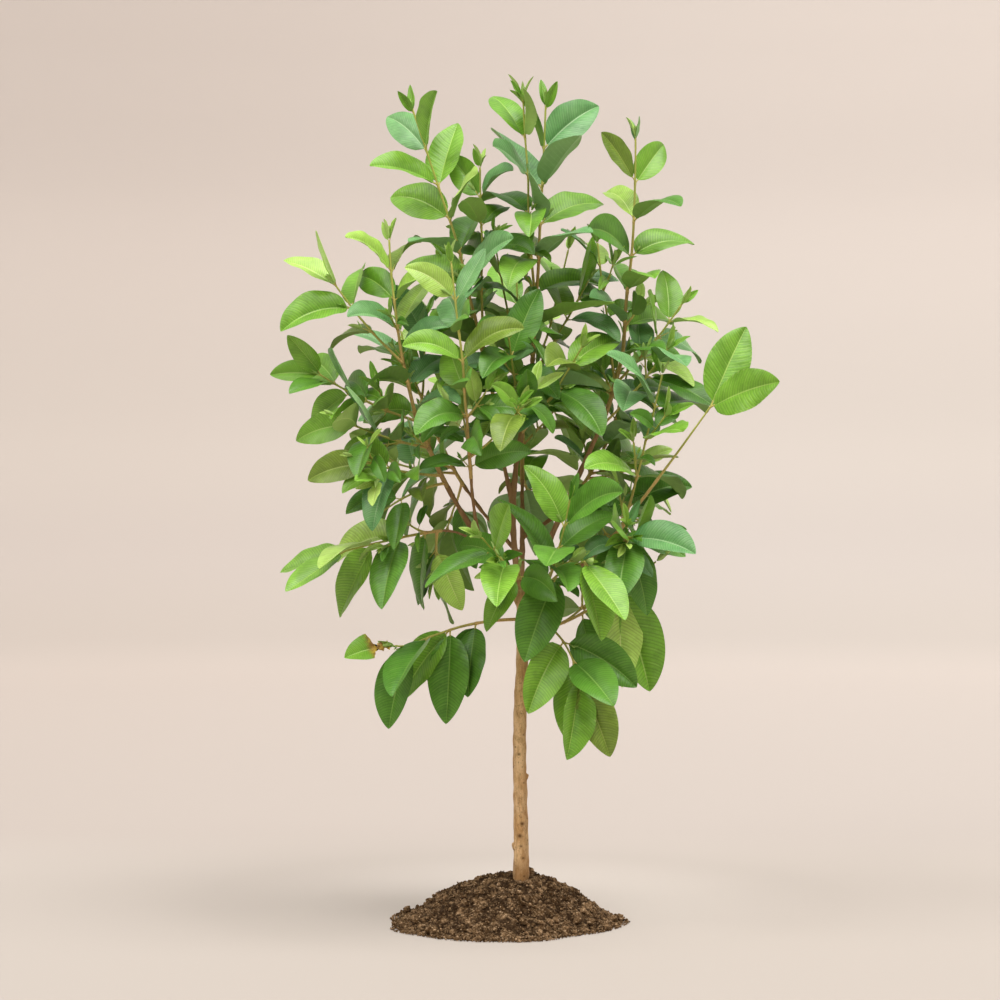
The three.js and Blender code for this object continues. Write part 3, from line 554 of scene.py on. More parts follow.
def grow_leaves(grown, draw, taken):
    """A shoot's leaves, each turned aside until it touches nothing, or left out."""
    shoot = grown["shoot"]
    bud_size = shoot.get("bud", SHOOT["bud"])
    leaves = []
    for i, t in enumerate(grown["pairs"]):
        bud = i == shoot["pairs"]
        share = i / shoot["pairs"]
        for pair in range(2):
            r1, r2, r3, r4, r5, r6 = (draw() for _ in range(6))
            if 2 * i + pair in shoot.get("lost", ()):
                continue
            around = shoot["turn"] + i * 90 + pair * 180 + (r1 - 0.5) * STAND["around_stray"]
            away = between(STAND["away"], share) + (r2 - 0.5) * STAND["away_stray"]
            whole, linear, cubic = STAND["size"]
            size = whole + linear * share + cubic * share ** 3
            size *= STAND["size_least"] + STAND["size_stray"] * r3
            sag = shoot.get("sag", 0) * (1 + (r4 - 0.5) * STAND["sag_stray"])
            droop = between(STAND["droop"], share) * (1 + (r4 - 0.5) * STAND["droop_stray"])
            if bud:
                away = BUD["away"][0] + BUD["away"][1] * bud_size
                size, droop = bud_size, BUD["droop"] * bud_size
            common = dict(
                t=t + pair * SHOOT["stagger"],
                length=shoot["leaf"] * size,
                droop=droop / (1 + STAND["eased"] * sag),
                roll=(r5 - 0.5) * STAND["roll_stray"],
                fold=LEAF["fold"] * (1 + (r6 - 0.5) * STAND["fold_stray"]),
                sag=sag,
            )
            for turn, lift in WAYS_ROUND:
                leaf = leaf_at(grown, around=around + turn, away=away - lift, **common)
                shape = leaf_obstacle(leaf, grown["limb"], i)
                if not in_crown(shape.points[-1]) or taken.touched(shape):
                    continue
                taken.add(shape)
                leaf.update(share=share, bud=bud, around=around + turn)
                leaves.append(leaf)
                break
    return leaves


taken = Taken()
for limb in [trunk, *boughs.values()]:
    taken.add(limb_obstacle(limb, evenly(LIMB_STEPS)))
masses = {}
for mass_name, planned in MASSES.items():
    shoots = []
    for shoot in planned["shoots"]:
        shoots.append(grow_shoot(planned, shoot, shoots))
    for grown in shoots:
        taken.add(limb_obstacle(grown["limb"], grown["stations"]))
    masses[mass_name] = shoots
seed = 0
for shoots in masses.values():
    for grown in shoots:
        seed += 1
        grown["seed"] = seed
        grown["leaves"] = grow_leaves(grown, seeded(seed), taken)

# Short side shoots in the leaves' axils, dealt out more thickly towards the foot of a shoot.
SIDE = dict(
    chance=0.6,
    length=(16, 44),
    leaf=(34, 62),
    bare=0.5,
    bud=0.75,
    along=0.8,
    out=0.75,
    clear=0.45,
)


def side_shoots(shoots, draw):
    made = []
    for index, parent in enumerate(shoots):
        limb, shoot = parent["limb"], parent["shoot"]
        if "front" in shoot:
            continue
        for i, t in enumerate(parent["pairs"][:-1]):
            for pair in range(2):
                chance, stretch, size, stray = (draw() for _ in range(4))
                if chance > SIDE["chance"] * (1 - i / shoot["pairs"]):
                    continue
                turn = shoot["turn"] + i * 90 + pair * 180 + (stray - 0.5) * STAND["around_stray"]
                along = limb.direction(t)
                out = out_from(along, parent["side"], turn)
                way = (along * SIDE["along"] + out * SIDE["out"]).normalized()
                tip = limb.point(t) + way * between(SIDE["length"], stretch)
                row = dict(on=index, at=t, tip=tip, pairs=1, turn=turn + 90)
                row.update(leaf=between(SIDE["leaf"], size), bare=SIDE["bare"], bud=SIDE["bud"])
                grown = grow_shoot(None, row, shoots)
                shape = limb_obstacle(grown["limb"], [SIDE["clear"], 1])
                if in_crown(tip) and not taken.touched(shape):
                    taken.add(shape)
                    grown["leaves"] = grow_leaves(grown, draw, taken)
                    made.append(grown)
    return made


for shoots in masses.values():
    seed += 1
    more = side_shoots(shoots, seeded(seed))
    for grown in more:
        seed += 1
        grown["seed"] = seed
    shoots += more
print("leaves", {name: sum(len(g["leaves"]) for g in shoots) for name, shoots in masses.items()})

# ---------------------------------------------------------------- meshes


class Patch:
    """Faces that are gathered from many small shapes and made into one mesh."""

    def __init__(self):
        self.points, self.counts, self.corners, self.slots = [], [], [], []
        self.maps = {}
        self.marks = []
        self.sharp = []
        self.size = 0

    def add(self, points, counts, corners, slot=0, marks=None, sharp=None, **maps):
        """points (n, 3) in mm; counts and marks for each face; corners and maps for each corner."""
        self.points.append(points)
        self.counts.append(counts)
        self.corners.append(corners + self.size)
        self.slots.append(np.full(len(counts), slot))
        self.marks.append(np.zeros((len(counts), 4)) if marks is None else marks)
        self.sharp.append(np.zeros(len(points), bool) if sharp is None else sharp)
        for name, values in maps.items():
            self.maps.setdefault(name, []).append(values)
        self.size += len(points)

    def make(self, name, materials):
        mesh = bpy.data.meshes.new(name)
        points = np.concatenate(self.points) * MM
        counts = np.concatenate(self.counts)
        corners = np.concatenate(self.corners)
        mesh.vertices.add(len(points))
        mesh.vertices.foreach_set("co", points.astype(np.float32).ravel())
        mesh.loops.add(len(corners))
        mesh.loops.foreach_set("vertex_index", corners.astype(np.int32))
        mesh.polygons.add(len(counts))
        starts = np.concatenate([[0], np.cumsum(counts)[:-1]])
        mesh.polygons.foreach_set("loop_start", starts.astype(np.int32))
        mesh.polygons.foreach_set("loop_total", counts.astype(np.int32))
        mesh.polygons.foreach_set("material_index", np.concatenate(self.slots).astype(np.int32))
        mesh.polygons.foreach_set("use_smooth", np.ones(len(counts), bool))
        mesh.update(calc_edges=True)
        for map_name, values in self.maps.items():
            layer = mesh.uv_layers.new(name=map_name)
            layer.uv.foreach_set("vector", np.concatenate(values).astype(np.float32).ravel())
        marks = mesh.attributes.new("marks", "FLOAT_COLOR", "FACE")
        marks.data.foreach_set("color", np.concatenate(self.marks).astype(np.float32).ravel())
        flagged = np.concatenate(self.sharp)
        if flagged.any():
            ends = np.empty(len(mesh.edges) * 2, np.int32)
            mesh.edges.foreach_get("vertices", ends)
            sharp = mesh.attributes.new("sharp_edge", "BOOLEAN", "EDGE")
            sharp.data.foreach_set("value", flagged[ends.reshape(-1, 2)].all(1))
        for material in materials:
            mesh.materials.append(material)
        mesh.validate()
        made = bpy.data.objects.new(name, mesh)
        bpy.context.collection.objects.link(made)
        return made


def point_numbers(mesh, name, values):
    """Keeps one number for each point, which a material reads as share(name)."""
    layer = mesh.attributes.new(name, "FLOAT", "POINT")
    layer.data.foreach_set("value", np.array(values, np.float32))


def piece(made, slot, *nodes):
    """Gives a piece to the tree's one body and hides the nodes that it replaces. Its slot is not used."""
    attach(made, "root")
    if nodes:
        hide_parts(*nodes)
    return made


# ---------------------------------------------------------------- leaf blades

# A blade's grid: veins, rows for each vein, and columns from the midrib to the margin.
BLADES = {
    "grown": dict(veins=13, per_vein=3, columns=(0.07, 0.28, 0.55, 0.82, 1)),
    "young": dict(veins=10, per_vein=2, columns=(0.12, 0.5, 0.84, 1)),
    "bud": dict(veins=5, per_vein=2, columns=(0.5, 1)),
}


class BladeGrid:
    """The faces of a blade of one kind. The points on its margin serve both its sides."""

    def __init__(self, veins, per_vein, columns):
        self.veins = veins
        rows = veins * per_vein
        w = np.array([-c for c in reversed(columns)] + [0, *columns])
        self.s = np.repeat(np.arange(1, rows) / rows, len(w)).reshape(rows - 1, len(w))
        self.w = np.broadcast_to(w, self.s.shape).copy()
        inner = slice(1, len(w) - 1)
        upper = np.arange(self.s.size).reshape(self.s.shape)
        lower = upper.copy()
        lower[:, inner] = self.s.size + np.arange((rows - 1) * (len(w) - 2)).reshape(rows - 1, -1)
        base = self.s.size + lower[:, inner].size
        tip = base + 1
        self.count = tip + 1
        counts, corners, places, sides = [], [], [], []

        last = rows - 2
        for side, ids in enumerate((upper, lower)):
            for c in range(len(w) - 1):
                strip = [[(base, (-1, 0)), (ids[0, c + 1], (0, c + 1)), (ids[0, c], (0, c))]]
                for r in range(last):
                    quad = ((r, c), (r, c + 1), (r + 1, c + 1), (r + 1, c))
                    strip.append([(ids[p], p) for p in quad])
                strip.append([(ids[last, c], (last, c)), (ids[last, c + 1], (last, c + 1)), (tip, (-2, 0))])
                for face in strip:
                    if side:
                        face.reverse()
                    counts.append(len(face))
                    corners.extend(i for i, _ in face)
                    places.extend(p for _, p in face)
                    sides.append(side)
        self.counts = np.array(counts)
        self.corners = np.array(corners)
        self.sides = np.array(sides)
        self.corner_side = np.repeat(self.sides, self.counts)
        self.flat = np.array([r if r < 0 else r * len(w) + c for r, c in places])
        self.margin = np.zeros(self.count, bool)
        self.margin[upper[:, 0]] = True
        self.margin[upper[:, -1]] = True
        self.margin[[base, tip]] = True
        self.inner = inner

    def at_corners(self, values, base, tip):
        """The values at the grid's points, its base and its tip, as one for each corner of a face."""
        return np.concatenate([values.ravel(), [tip, base]])[self.flat]


GRIDS = {name: BladeGrid(**made) for name, made in BLADES.items()}


def smooth_step(low, high, x):
    """From 0 at low to 1 at high, whichever of them is greater."""
    x = np.clip((x - low) / (high - low), 0, 1)
    return x * x * (3 - 2 * x)


# A blade's surface. The widths of the groove and the rib, and the rib's height, are shares of its length.
RELIEF = dict(
    spine_steps=36,
    forward=0.15,  # how far forwards a vein runs, as a share of the blade's length
    flat_middle=(0.03, 0.24),  # where the quilting rises beside the midrib, as shares of the half-width
    flat_margin=(0.8, 1),
    groove_width=0.022,
    rib_width=0.016,
    rib_height=0.011,
    rib_taper=0.75,
    lateral_rib=0.25,  # of the quilting's height
)
# Where a blade's chart lies in its cell of the baking sheet.
CHART = dict(half_width=0.46, foot=0.03, height=0.94)


def blade(patch, leaf, kind, slot, cell, look):
    """Adds one leaf blade: quilted between its veins, with a rib under the midrib and a wavy margin."""
    grid = GRIDS[kind]
    s, w = grid.s, grid.w
    length = leaf["length"]
    half = length * leaf.get("width", LEAF["half_width"])
    reach = np.abs(w)
    # A vein leaves the midrib at s and runs forwards to the margin.
    t = s + RELIEF["forward"] * outline(s) * reach ** 1.25 * (1 - s ** 6)
    spine = leaf_spine(leaf, RELIEF["spine_steps"], look["sway"], look["curl"])
    steps = np.linspace(0, 1, len(spine))
    points = np.array([tuple(p) for p, _, _ in spine])
    ways = np.array([tuple(d) for _, d, _ in spine])
    normals = np.array([tuple(n) for _, _, n in spine])
    sides = np.cross(ways, normals)
    turn = look["twist"] * (steps - 0.25)[:, None]
    normals, sides = (
        normals * np.cos(turn) + sides * np.sin(turn),
        sides * np.cos(turn) - normals * np.sin(turn),
    )

    def along(values):
        return np.stack([np.interp(t, steps, values[:, k]) for k in range(3)], -1)

    p, n, side = along(points), along(normals), along(sides)
    width = half * outline(np.minimum(t, 0.9995)) * (1 + look["lopsided"] * np.sign(w))
    if look["eaten"]:
        hole = smooth_step(0.46, 0.36, t) * smooth_step(0.04, 0.12, t)
        ragged = 0.18 * np.sin(37 * t + 3 * np.sign(w)) + 0.1 * np.sin(91 * t)
        width = width * (1 - hole * (0.72 + ragged))
    off = width * w
    fold = math.tan(math.radians(leaf["fold"]))
    lift = np.abs(off) * fold * (1 - look["cup"] * reach)
    body = smooth_step(*RELIEF["flat_middle"], reach) * (1 - smooth_step(*RELIEF["flat_margin"], reach))
    body = body * np.minimum(1, outline(s) * 1.6)
    phase = grid.veins * s
    lift = lift + look["quilt"] * (0.5 - 0.5 * np.cos(2 * math.pi * phase)) * body
    lift = lift - look["groove"] * np.exp(-((off / (RELIEF["groove_width"] * length)) ** 2))
    waves = np.where(w < 0, look["wave_left"], look["wave_right"])
    ripple = np.sin(2 * math.pi * (look["waves"] * t + waves))
    lift = lift + look["wave"] * ripple * reach ** 2.2 * outline(t)
    top = p + side * off[..., None] + n * lift[..., None]
    rib = RELIEF["rib_height"] * length * np.exp(-((off / (RELIEF["rib_width"] * length)) ** 2))
    rib = rib * (1 - RELIEF["rib_taper"] * t)
    ribs = RELIEF["lateral_rib"] * look["quilt"] * (0.5 + 0.5 * np.cos(2 * math.pi * phase)) * body
    under = top - n * (look["thick"] + rib + ribs)[..., None]
    base, tip = points[0], points[-1]
    sheets = [top.reshape(-1, 3), under[:, grid.inner].reshape(-1, 3)]
    verts = np.concatenate([*sheets, base[None], tip[None]])
    u = grid.at_corners(w, 0, 0)
    v = grid.at_corners(s, 0, 1) * grid.veins
    cu = grid.at_corners(w * outline(t), 0, 0)
    cv = grid.at_corners(t, 0, 1)
    index, columns, rows = cell
    chart = 2 * index + grid.corner_side
    bake_u = (chart % columns + 0.5 + CHART["half_width"] * cu) / columns
    bake_v = (chart // columns + CHART["foot"] + CHART["height"] * cv) / rows
    marks = np.empty((len(grid.counts), 4))
    marks[:] = (look["tint"], 0, 0, 1)
    marks[:, 1] = grid.sides
    if look["eaten"]:
        middles = np.add.reduceat(cv, np.concatenate([[0], np.cumsum(grid.counts)[:-1]])) / grid.counts
        marks[:, 2] = smooth_step(0.54, 0.38, middles)
    patch.add(
        verts,
        grid.counts,
        grid.corners,
        slot,
        marks,
        grid.margin,
        blade=np.stack([u, v], -1),
        OFBake=np.stack([bake_u, bake_v], -1),
    )


USUAL_LEAF = 90  # the length that a blade's relief and a petiole's thickness are told for


def blade_look(dice, length, young):
    """The chances of one leaf's form and colour. Bends are in radians and heights in millimetres."""
    size = length / USUAL_LEAF
    return dict(
        sway=dice.uniform(-0.3, 0.3),
        curl=dice.uniform(-0.15, 0.5),
        twist=dice.uniform(-0.6, 0.6),
        lopsided=dice.uniform(-0.07, 0.07),
        cup=dice.uniform(0.2, 0.65),
        quilt=dice.uniform(0.2, 0.6) * size ** 0.6,
        groove=0.8 * size,
        wave=dice.uniform(0.2, 1.6) * size,
        waves=dice.uniform(1.6, 3.2),
        wave_left=dice.random(),
        wave_right=dice.random(),
        thick=0.3 if young else 0.42,
        tint=dice.random(),
        eaten=False,
    )


# ---------------------------------------------------------------- tubes for twigs and petioles


def tube(patch, centres, radii, sides, marks, cell, square=0.0):
    """A closed tube through the points, a little square in section. marks has a row for each ring."""
    centres = np.asarray(centres, float)
    radii = np.asarray(radii, float)
    count = len(centres)
    ways = np.gradient(centres, axis=0)
    ways /= np.linalg.norm(ways, axis=1)[:, None]
    first = np.cross(ways[0], (0, 0, 1) if abs(ways[0][2]) < 0.8 else (1, 0, 0))
    e1 = np.empty_like(centres)
    e1[0] = first / np.linalg.norm(first)
    for i in range(1, count):
        kept = e1[i - 1] - ways[i] * e1[i - 1].dot(ways[i])
        e1[i] = kept / np.linalg.norm(kept)
    e2 = np.cross(ways, e1)
    angles = np.arange(sides) / sides * 2 * math.pi
    swell = 1 + square * np.cos(4 * angles)
    across = e1[:, None] * (np.cos(angles) * swell)[None, :, None]
    ring = across + e2[:, None] * (np.sin(angles) * swell)[None, :, None]
    verts = centres[:, None] + ring * radii[:, None, None]
    ends = np.stack([centres[0] - ways[0] * radii[0] * 0.6, centres[-1] + ways[-1] * radii[-1] * 0.7])
    verts = np.concatenate([verts.reshape(-1, 3), ends])
    i = np.arange(sides)
    j = (i + 1) % sides
    rows = np.arange(count - 1)[:, None] * sides
    quads = np.stack([rows + i, rows + j, rows + j + sides, rows + i + sides], -1).reshape(-1, 4)
    start = count * sides
    last = (count - 1) * sides
    low = np.stack([np.full(sides, start), j, i], -1)
    high = np.stack([last + i, last + j, np.full(sides, start + 1)], -1)
    corners = np.concatenate([quads.ravel(), low.ravel(), high.ravel()])
    counts = np.concatenate([np.full(len(quads), 4), np.full(2 * sides, 3)])
    marks = np.asarray(marks, float)
    face_marks = np.repeat(np.concatenate([(marks[:-1] + marks[1:]) / 2, marks[:1], marks[-1:]]), sides, 0)
    index, columns = cell
    span = np.linspace(0.01, 0.99, count)
    u0 = np.stack([i, i + 1, i + 1, i], -1) / sides
    u_quads = np.broadcast_to(u0, (count - 1, sides, 4)).reshape(-1)
    v_quads = np.stack([span[:-1], span[:-1], span[1:], span[1:]], -1)
    v_quads = np.repeat(v_quads[:, None], sides, 1).reshape(-1)
    u_low = np.stack([(i + 0.5), i + 1, i], -1).ravel() / sides
    u_high = np.stack([i, i + 1, i + 0.5], -1).ravel() / sides
    v_low = np.tile([0.0, 0.01, 0.01], sides)
    v_high = np.tile([0.99, 0.99, 1.0], sides)
    u = np.concatenate([u_quads, u_low, u_high])
    v = np.concatenate([v_quads, v_low, v_high])
    bake = np.stack([(index + 0.04 + 0.92 * u) / columns, v], -1)
    patch.add(verts, counts, corners, marks=face_marks, OFBake=bake)


# ---------------------------------------------------------------- materials


def srgb(r, g, b):
    """An sRGB colour of 0 to 255 as a linear one."""
    shares = [c / 255 for c in (r, g, b)]
    return (*(c / 12.92 if c <= 10 / 255 else ((c + 0.055) / 1.055) ** 2.4 for c in shares), 1)


class Nodes:
    """A material's node tree, written as calls."""

    def __init__(self, name, roughness, specular=0.5):
        self.material = bpy.data.materials.new(name)
        self.material.use_nodes = True
        self.tree = self.material.node_tree
        self.shader = self.tree.nodes["Principled BSDF"]
        self.shader.inputs["Roughness"].default_value = roughness
        self.shader.inputs["Specular IOR Level"].default_value = specular

    def put(self, socket, value):
        if isinstance(value, bpy.types.NodeSocket):
            self.tree.links.new(value, socket)
        else:
            socket.default_value = value

    def node(self, kind, **settings):
        made = self.tree.nodes.new(kind)
        for key, value in settings.items():
            setattr(made, key, value)
        return made

    def math(self, operation, *values):
        made = self.node("ShaderNodeMath", operation=operation)
        for socket, value in zip(made.inputs, values):
            self.put(socket, value)
        return made.outputs[0]

    def times(self, a, b):
        return self.math("MULTIPLY", a, b)

    def ramp(self, value, low, high, to_low=0.0, to_high=1.0):
        """value from low..high to to_low..to_high, smoothly and held at the ends."""
        made = self.node("ShaderNodeMapRange", interpolation_type="SMOOTHSTEP")
        for socket, number in zip(made.inputs, (value, low, high, to_low, to_high)):
            self.put(socket, number)
        return made.outputs[0]

    def mix(self, share, a, b):
        made = self.node("ShaderNodeMix", data_type="RGBA")
        self.put(made.inputs[0], share)
        self.put(made.inputs[6], a)
        self.put(made.inputs[7], b)
        return made.outputs[2]

    def over(self, colour, paint, cover, strength):
        """The colour under a paint of 0 to 255 that is laid on where cover is 1, at that strength."""
        return self.mix(self.times(cover, strength), colour, srgb(*paint))

    def place(self):
        """The object's own coordinates in metres."""
        return self.node("ShaderNodeTexCoord").outputs["Object"]

    def stretched(self, where, stretch):
        made = self.node("ShaderNodeMapping")
        self.put(made.inputs["Vector"], where)
        made.inputs["Scale"].default_value = stretch
        return made.outputs[0]

    def share(self, name):
        """A mesh attribute of one number."""
        return self.node("ShaderNodeAttribute", attribute_name=name).outputs["Fac"]

    def marks(self):
        """The three numbers that Patch keeps for each face."""
        made = self.node("ShaderNodeSeparateColor")
        self.put(made.inputs[0], self.node("ShaderNodeAttribute", attribute_name="marks").outputs["Color"])
        return made.outputs

    def axes(self, where):
        made = self.node("ShaderNodeSeparateXYZ")
        self.put(made.inputs[0], where)
        return made.outputs

    def noise(self, where, scale, detail=3, rough=0.55):
        made = self.node("ShaderNodeTexNoise")
        self.put(made.inputs["Vector"], where)
        made.inputs["Scale"].default_value = scale
        made.inputs["Detail"].default_value = detail
        made.inputs["Roughness"].default_value = rough
        return made.outputs["Fac"]

    def cells(self, where, scale, feature="F1"):
        made = self.node("ShaderNodeTexVoronoi", feature=feature)
        self.put(made.inputs["Vector"], where)
        made.inputs["Scale"].default_value = scale
        return made.outputs["Distance"]

    def bump(self, height, strength, distance):
        made = self.node("ShaderNodeBump")
        made.inputs["Strength"].default_value = strength
        made.inputs["Distance"].default_value = distance
        self.put(made.inputs["Height"], height)
        return made.outputs[0]

    def finish(self, colour, roughness=None, normal=None):
        self.put(self.shader.inputs["Base Color"], colour)
        if roughness is not None:
            self.put(self.shader.inputs["Roughness"], roughness)
        if normal is not None:
            self.put(self.shader.inputs["Normal"], normal)
        return self.material


# Each tone: two near colours that its leaves lie between, the veins' colour and the underside's.
TONES = {
    "young": ((158, 204, 74), (192, 226, 112), (216, 232, 150), (178, 208, 118)),
    "bright": ((106, 162, 42), (142, 194, 66), (176, 210, 106), (152, 186, 94)),
    "mature": ((76, 131, 36), (111, 166, 58), (140, 180, 86), (126, 162, 80)),
    # A bluish green that is partly the leaves' own colour and partly a painted reflection of the sky's sheen
    # on their faces.
    "bluish_sheen": ((96, 156, 88), (138, 190, 120), (172, 208, 152), (146, 184, 122)),
    "olive": ((104, 134, 38), (136, 162, 62), (166, 184, 94), (144, 164, 80)),
}
DRY = ((188, 158, 66), (140, 104, 48))  # the blade where it has been eaten


def darker(paint, share):
    return tuple(c * share for c in paint)


def leaf_material(name, low, high, vein, under):
    m = Nodes("leaf_" + name, 0.4, 0.4)
    place = m.place()
    tint, below, dry = m.marks()[:3]
    grid = m.node("ShaderNodeUVMap", uv_map="blade").outputs[0]
    u, v = m.axes(grid)[:2]
    across = m.math("ABSOLUTE", u)
    # From 0 on a lateral vein to a half midway between two of them.
    phase = m.math("ABSOLUTE", m.math("SUBTRACT", m.math("FRACT", m.math("ADD", v, 0.5)), 0.5))
    lateral = m.times(m.ramp(phase, 0.02, 0.15, 1, 0), m.ramp(across, 0.6, 0.95, 1, 0))
    lateral = m.times(lateral, m.ramp(m.noise(place, 90, 2), 0.35, 0.65))
    # Painted shade: a darker band on the slopes beside each lateral vein, where the quilted blade dips.
    crease_shade = m.times(m.ramp(phase, 0.2, 0.4, 1, 0), m.ramp(phase, 0.08, 0.18))
    midrib = m.ramp(across, 0.01, 0.045, 1, 0)
    patches = m.ramp(m.noise(place, 46, 4, 0.6), 0.38, 0.66)
    flush = m.ramp(m.noise(place, 24, 3), 0.45, 0.7)
    net = m.cells(m.stretched(grid, (9, 3, 1)), 1.4, "DISTANCE_TO_EDGE")
    colour = m.mix(tint, srgb(*low), srgb(*high))
    colour = m.over(colour, darker(low, 0.68), patches, 0.38)
    colour = m.over(colour, high, flush, 0.45)
    # The painted shade beside the lateral veins.
    colour = m.over(colour, darker(low, 0.6), crease_shade, 0.34)
    colour = m.over(colour, vein, m.ramp(net, 0.0, 0.09, 1, 0), 0.12)
    colour = m.mix(below, colour, m.over(srgb(*under), darker(under, 0.84), patches, 0.35))
    colour = m.over(colour, vein, lateral, 0.24)
    colour = m.over(colour, vein, midrib, 0.75)
    dried = m.mix(m.ramp(m.noise(place, 160, 3), 0.4, 0.6), srgb(*DRY[0]), srgb(*DRY[1]))
    colour = m.mix(dry, colour, dried)
    rough = m.times(m.noise(place, 60, 2), 0.16)
    rough = m.math("ADD", rough, m.math("MULTIPLY_ADD", below, 0.25, 0.28))
    return m.finish(colour, rough, m.bump(net, 0.25, 0.0004))


leaf_materials = [leaf_material(name, *colours) for name, colours in TONES.items()]
TONE_SLOT = {name: i for i, name in enumerate(TONES)}


def twig_material():
    m = Nodes("twig", 0.6, 0.35)
    place = m.place()
    age = m.marks()[0]
    green, ochre, brown = srgb(184, 188, 92), srgb(216, 178, 112), srgb(148, 112, 78)
    colour = m.mix(m.ramp(age, 0.0, 0.3), green, ochre)
    colour = m.mix(m.ramp(age, 0.4, 0.95), colour, brown)
    streaks = m.noise(m.stretched(place, (1, 1, 0.15)), 900, 3)
    colour = m.over(colour, (104, 78, 48), m.ramp(streaks, 0.4, 0.7), 0.3)
    return m.finish(colour, None, m.bump(streaks, 0.3, 0.0004))


def bark_material():
    m = Nodes("bark", 0.72, 0.3)
    place = m.place()
    x, _, z = m.axes(place)
    streaks = m.noise(m.stretched(place, (1, 1, 0.09)), 260, 4, 0.6)
    fine = m.noise(m.stretched(place, (1, 1, 0.22)), 1100, 3)
    clouds = m.noise(m.stretched(place, (1, 1, 0.35)), 60, 3)
    mottled = m.noise(m.stretched(place, (1, 1, 0.5)), 150, 4, 0.65)
    colour = m.mix(m.ramp(clouds, 0.36, 0.62), srgb(208, 164, 110), srgb(240, 204, 154))
    colour = m.over(colour, (150, 108, 64), m.ramp(streaks, 0.48, 0.7), 0.42)
    colour = m.over(colour, (140, 102, 62), m.ramp(fine, 0.52, 0.72), 0.3)
    colour = m.over(colour, (116, 80, 42), m.ramp(m.noise(place, 420, 3), 0.58, 0.68), 0.55)
    colour = m.over(colour, (162, 116, 60), m.ramp(mottled, 0.5, 0.62), 0.45)
    colour = m.over(colour, (240, 206, 158), m.ramp(mottled, 0.34, 0.44, 1, 0), 0.5)
    young = m.ramp(z, 0.42, 0.53)
    wood = m.over(srgb(150, 112, 78), (176, 138, 98), m.ramp(streaks, 0.4, 0.65), 0.6)
    colour = m.mix(young, colour, wood)
    damp = m.ramp(m.math("ADD", z, m.times(clouds, 0.02)), 0.066, 0.12, 1, 0)
    colour = m.over(colour, (146, 102, 58), damp, 0.5)
    # Painted shade: the trunk darker on its right (+X) side and, less, at its left edge, below the boughs.
    aside = m.math("ADD", x, m.times(m.math("SUBTRACT", clouds, 0.5), 0.008))
    shaded = m.math("MAXIMUM", m.ramp(aside, 0.001, 0.009), m.ramp(aside, -0.0095, -0.006, 1, 0))
    colour = m.over(colour, (138, 98, 56), m.times(shaded, m.math("SUBTRACT", 1, young)), 0.4)
    colour = m.mix(m.share("pit"), colour, srgb(88, 56, 24))
    height = m.math("ADD", m.times(streaks, 0.6), m.times(fine, 0.4))
    return m.finish(colour, None, m.bump(height, 0.6, 0.001))


def soil_material(name):
    m = Nodes(name, 0.95, 0.15)
    place = m.place()
    crumbs = m.noise(place, 300, 5, 0.7)
    blotches = m.noise(place, 70, 4)
    grit = m.cells(place, 520)
    colour = m.mix(m.ramp(blotches, 0.36, 0.64), srgb(78, 55, 30), srgb(140, 111, 80))
    colour = m.over(colour, (44, 27, 10), m.ramp(crumbs, 0.38, 0.52, 1, 0), 0.75)
    colour = m.over(colour, (206, 176, 142), m.ramp(crumbs, 0.53, 0.66), 0.7)
    colour = m.over(colour, (200, 174, 140), m.ramp(grit, 0.04, 0.16, 1, 0), 0.5)
    # Painted shade: the soil darkened towards near black in the crevices between its clumps.
    colour = m.mix(m.ramp(m.share("crevice_shade"), 0.25, 0.8, 0, 0.88), colour, srgb(36, 20, 4))
    return m.finish(colour, None, m.bump(crumbs, 1.0, 0.0018))


# ---------------------------------------------------------------- twigs and leaves of the masses

# Lengths in millimetres. A twig swells at each pair of leaves and, as a collar, where it leaves another.
TWIG = dict(
    extra=0.22,
    node=0.3,
    node_reach=2.6,
    collar=0.5,
    collar_reach=4,
    step=4.0,
    wobble=0.006,
    sides=8,
    sunk=4,
)
AGES = dict(green=1.35, brown=4.25)  # the radii of a shoot with no wood and of one that is all wood
SMALL_LEAF = dict(length=45, width=0.17, fold=38)  # the greatest length, and the form of such a blade


def smooth_path(grown, shift):
    """The shoot's curve with a little waywardness, from where its parent's own curve runs."""
    limb = grown["limb"]
    length = (limb.end - limb.start).length
    dice = random.Random(grown["seed"] * 31 + 5)
    phases = [dice.uniform(0, 2 * math.pi) for _ in range(4)]

    def path(t):
        sway = TWIG["wobble"] * length * math.sin(math.pi * min(1, t * 1.15))
        x = math.sin(phases[0] + 7 * t) + 0.5 * math.sin(phases[1] + 17 * t)
        y = math.sin(phases[2] + 8 * t) + 0.5 * math.sin(phases[3] + 15 * t)
        return limb.curve(t) + shift * (1 - t) + Vector((x, y, 0)) * sway * math.sin(math.pi * t)

    return path


def age_of(radius):
    """How woody a shoot of that radius is, from 0 for green to 1 for brown."""
    return min(1.0, max(0.0, (radius - AGES["green"]) / (AGES["brown"] - AGES["green"])))


def quadratic(a, b, c, count):
    """Points along the curve from a to c that b pulls aside."""
    shares = [k / (count - 1) for k in range(count)]
    return [tuple(a * (1 - t) ** 2 + b * (2 * t * (1 - t)) + c * t ** 2) for t in shares]


# A petiole: its first and last radius, points, how far its curve runs outwards and along the shoot,
# how far its end is sunk into the blade and how far it reaches under it, and its age.
PETIOLE = dict(radii=(1.35, 0.85), points=5, out=2.6, along=1.4, sunk=0.35, under=0.02, age=0.12)
BUD_SUNK = 5.2  # how far below a growing point the petioles of its leaves begin


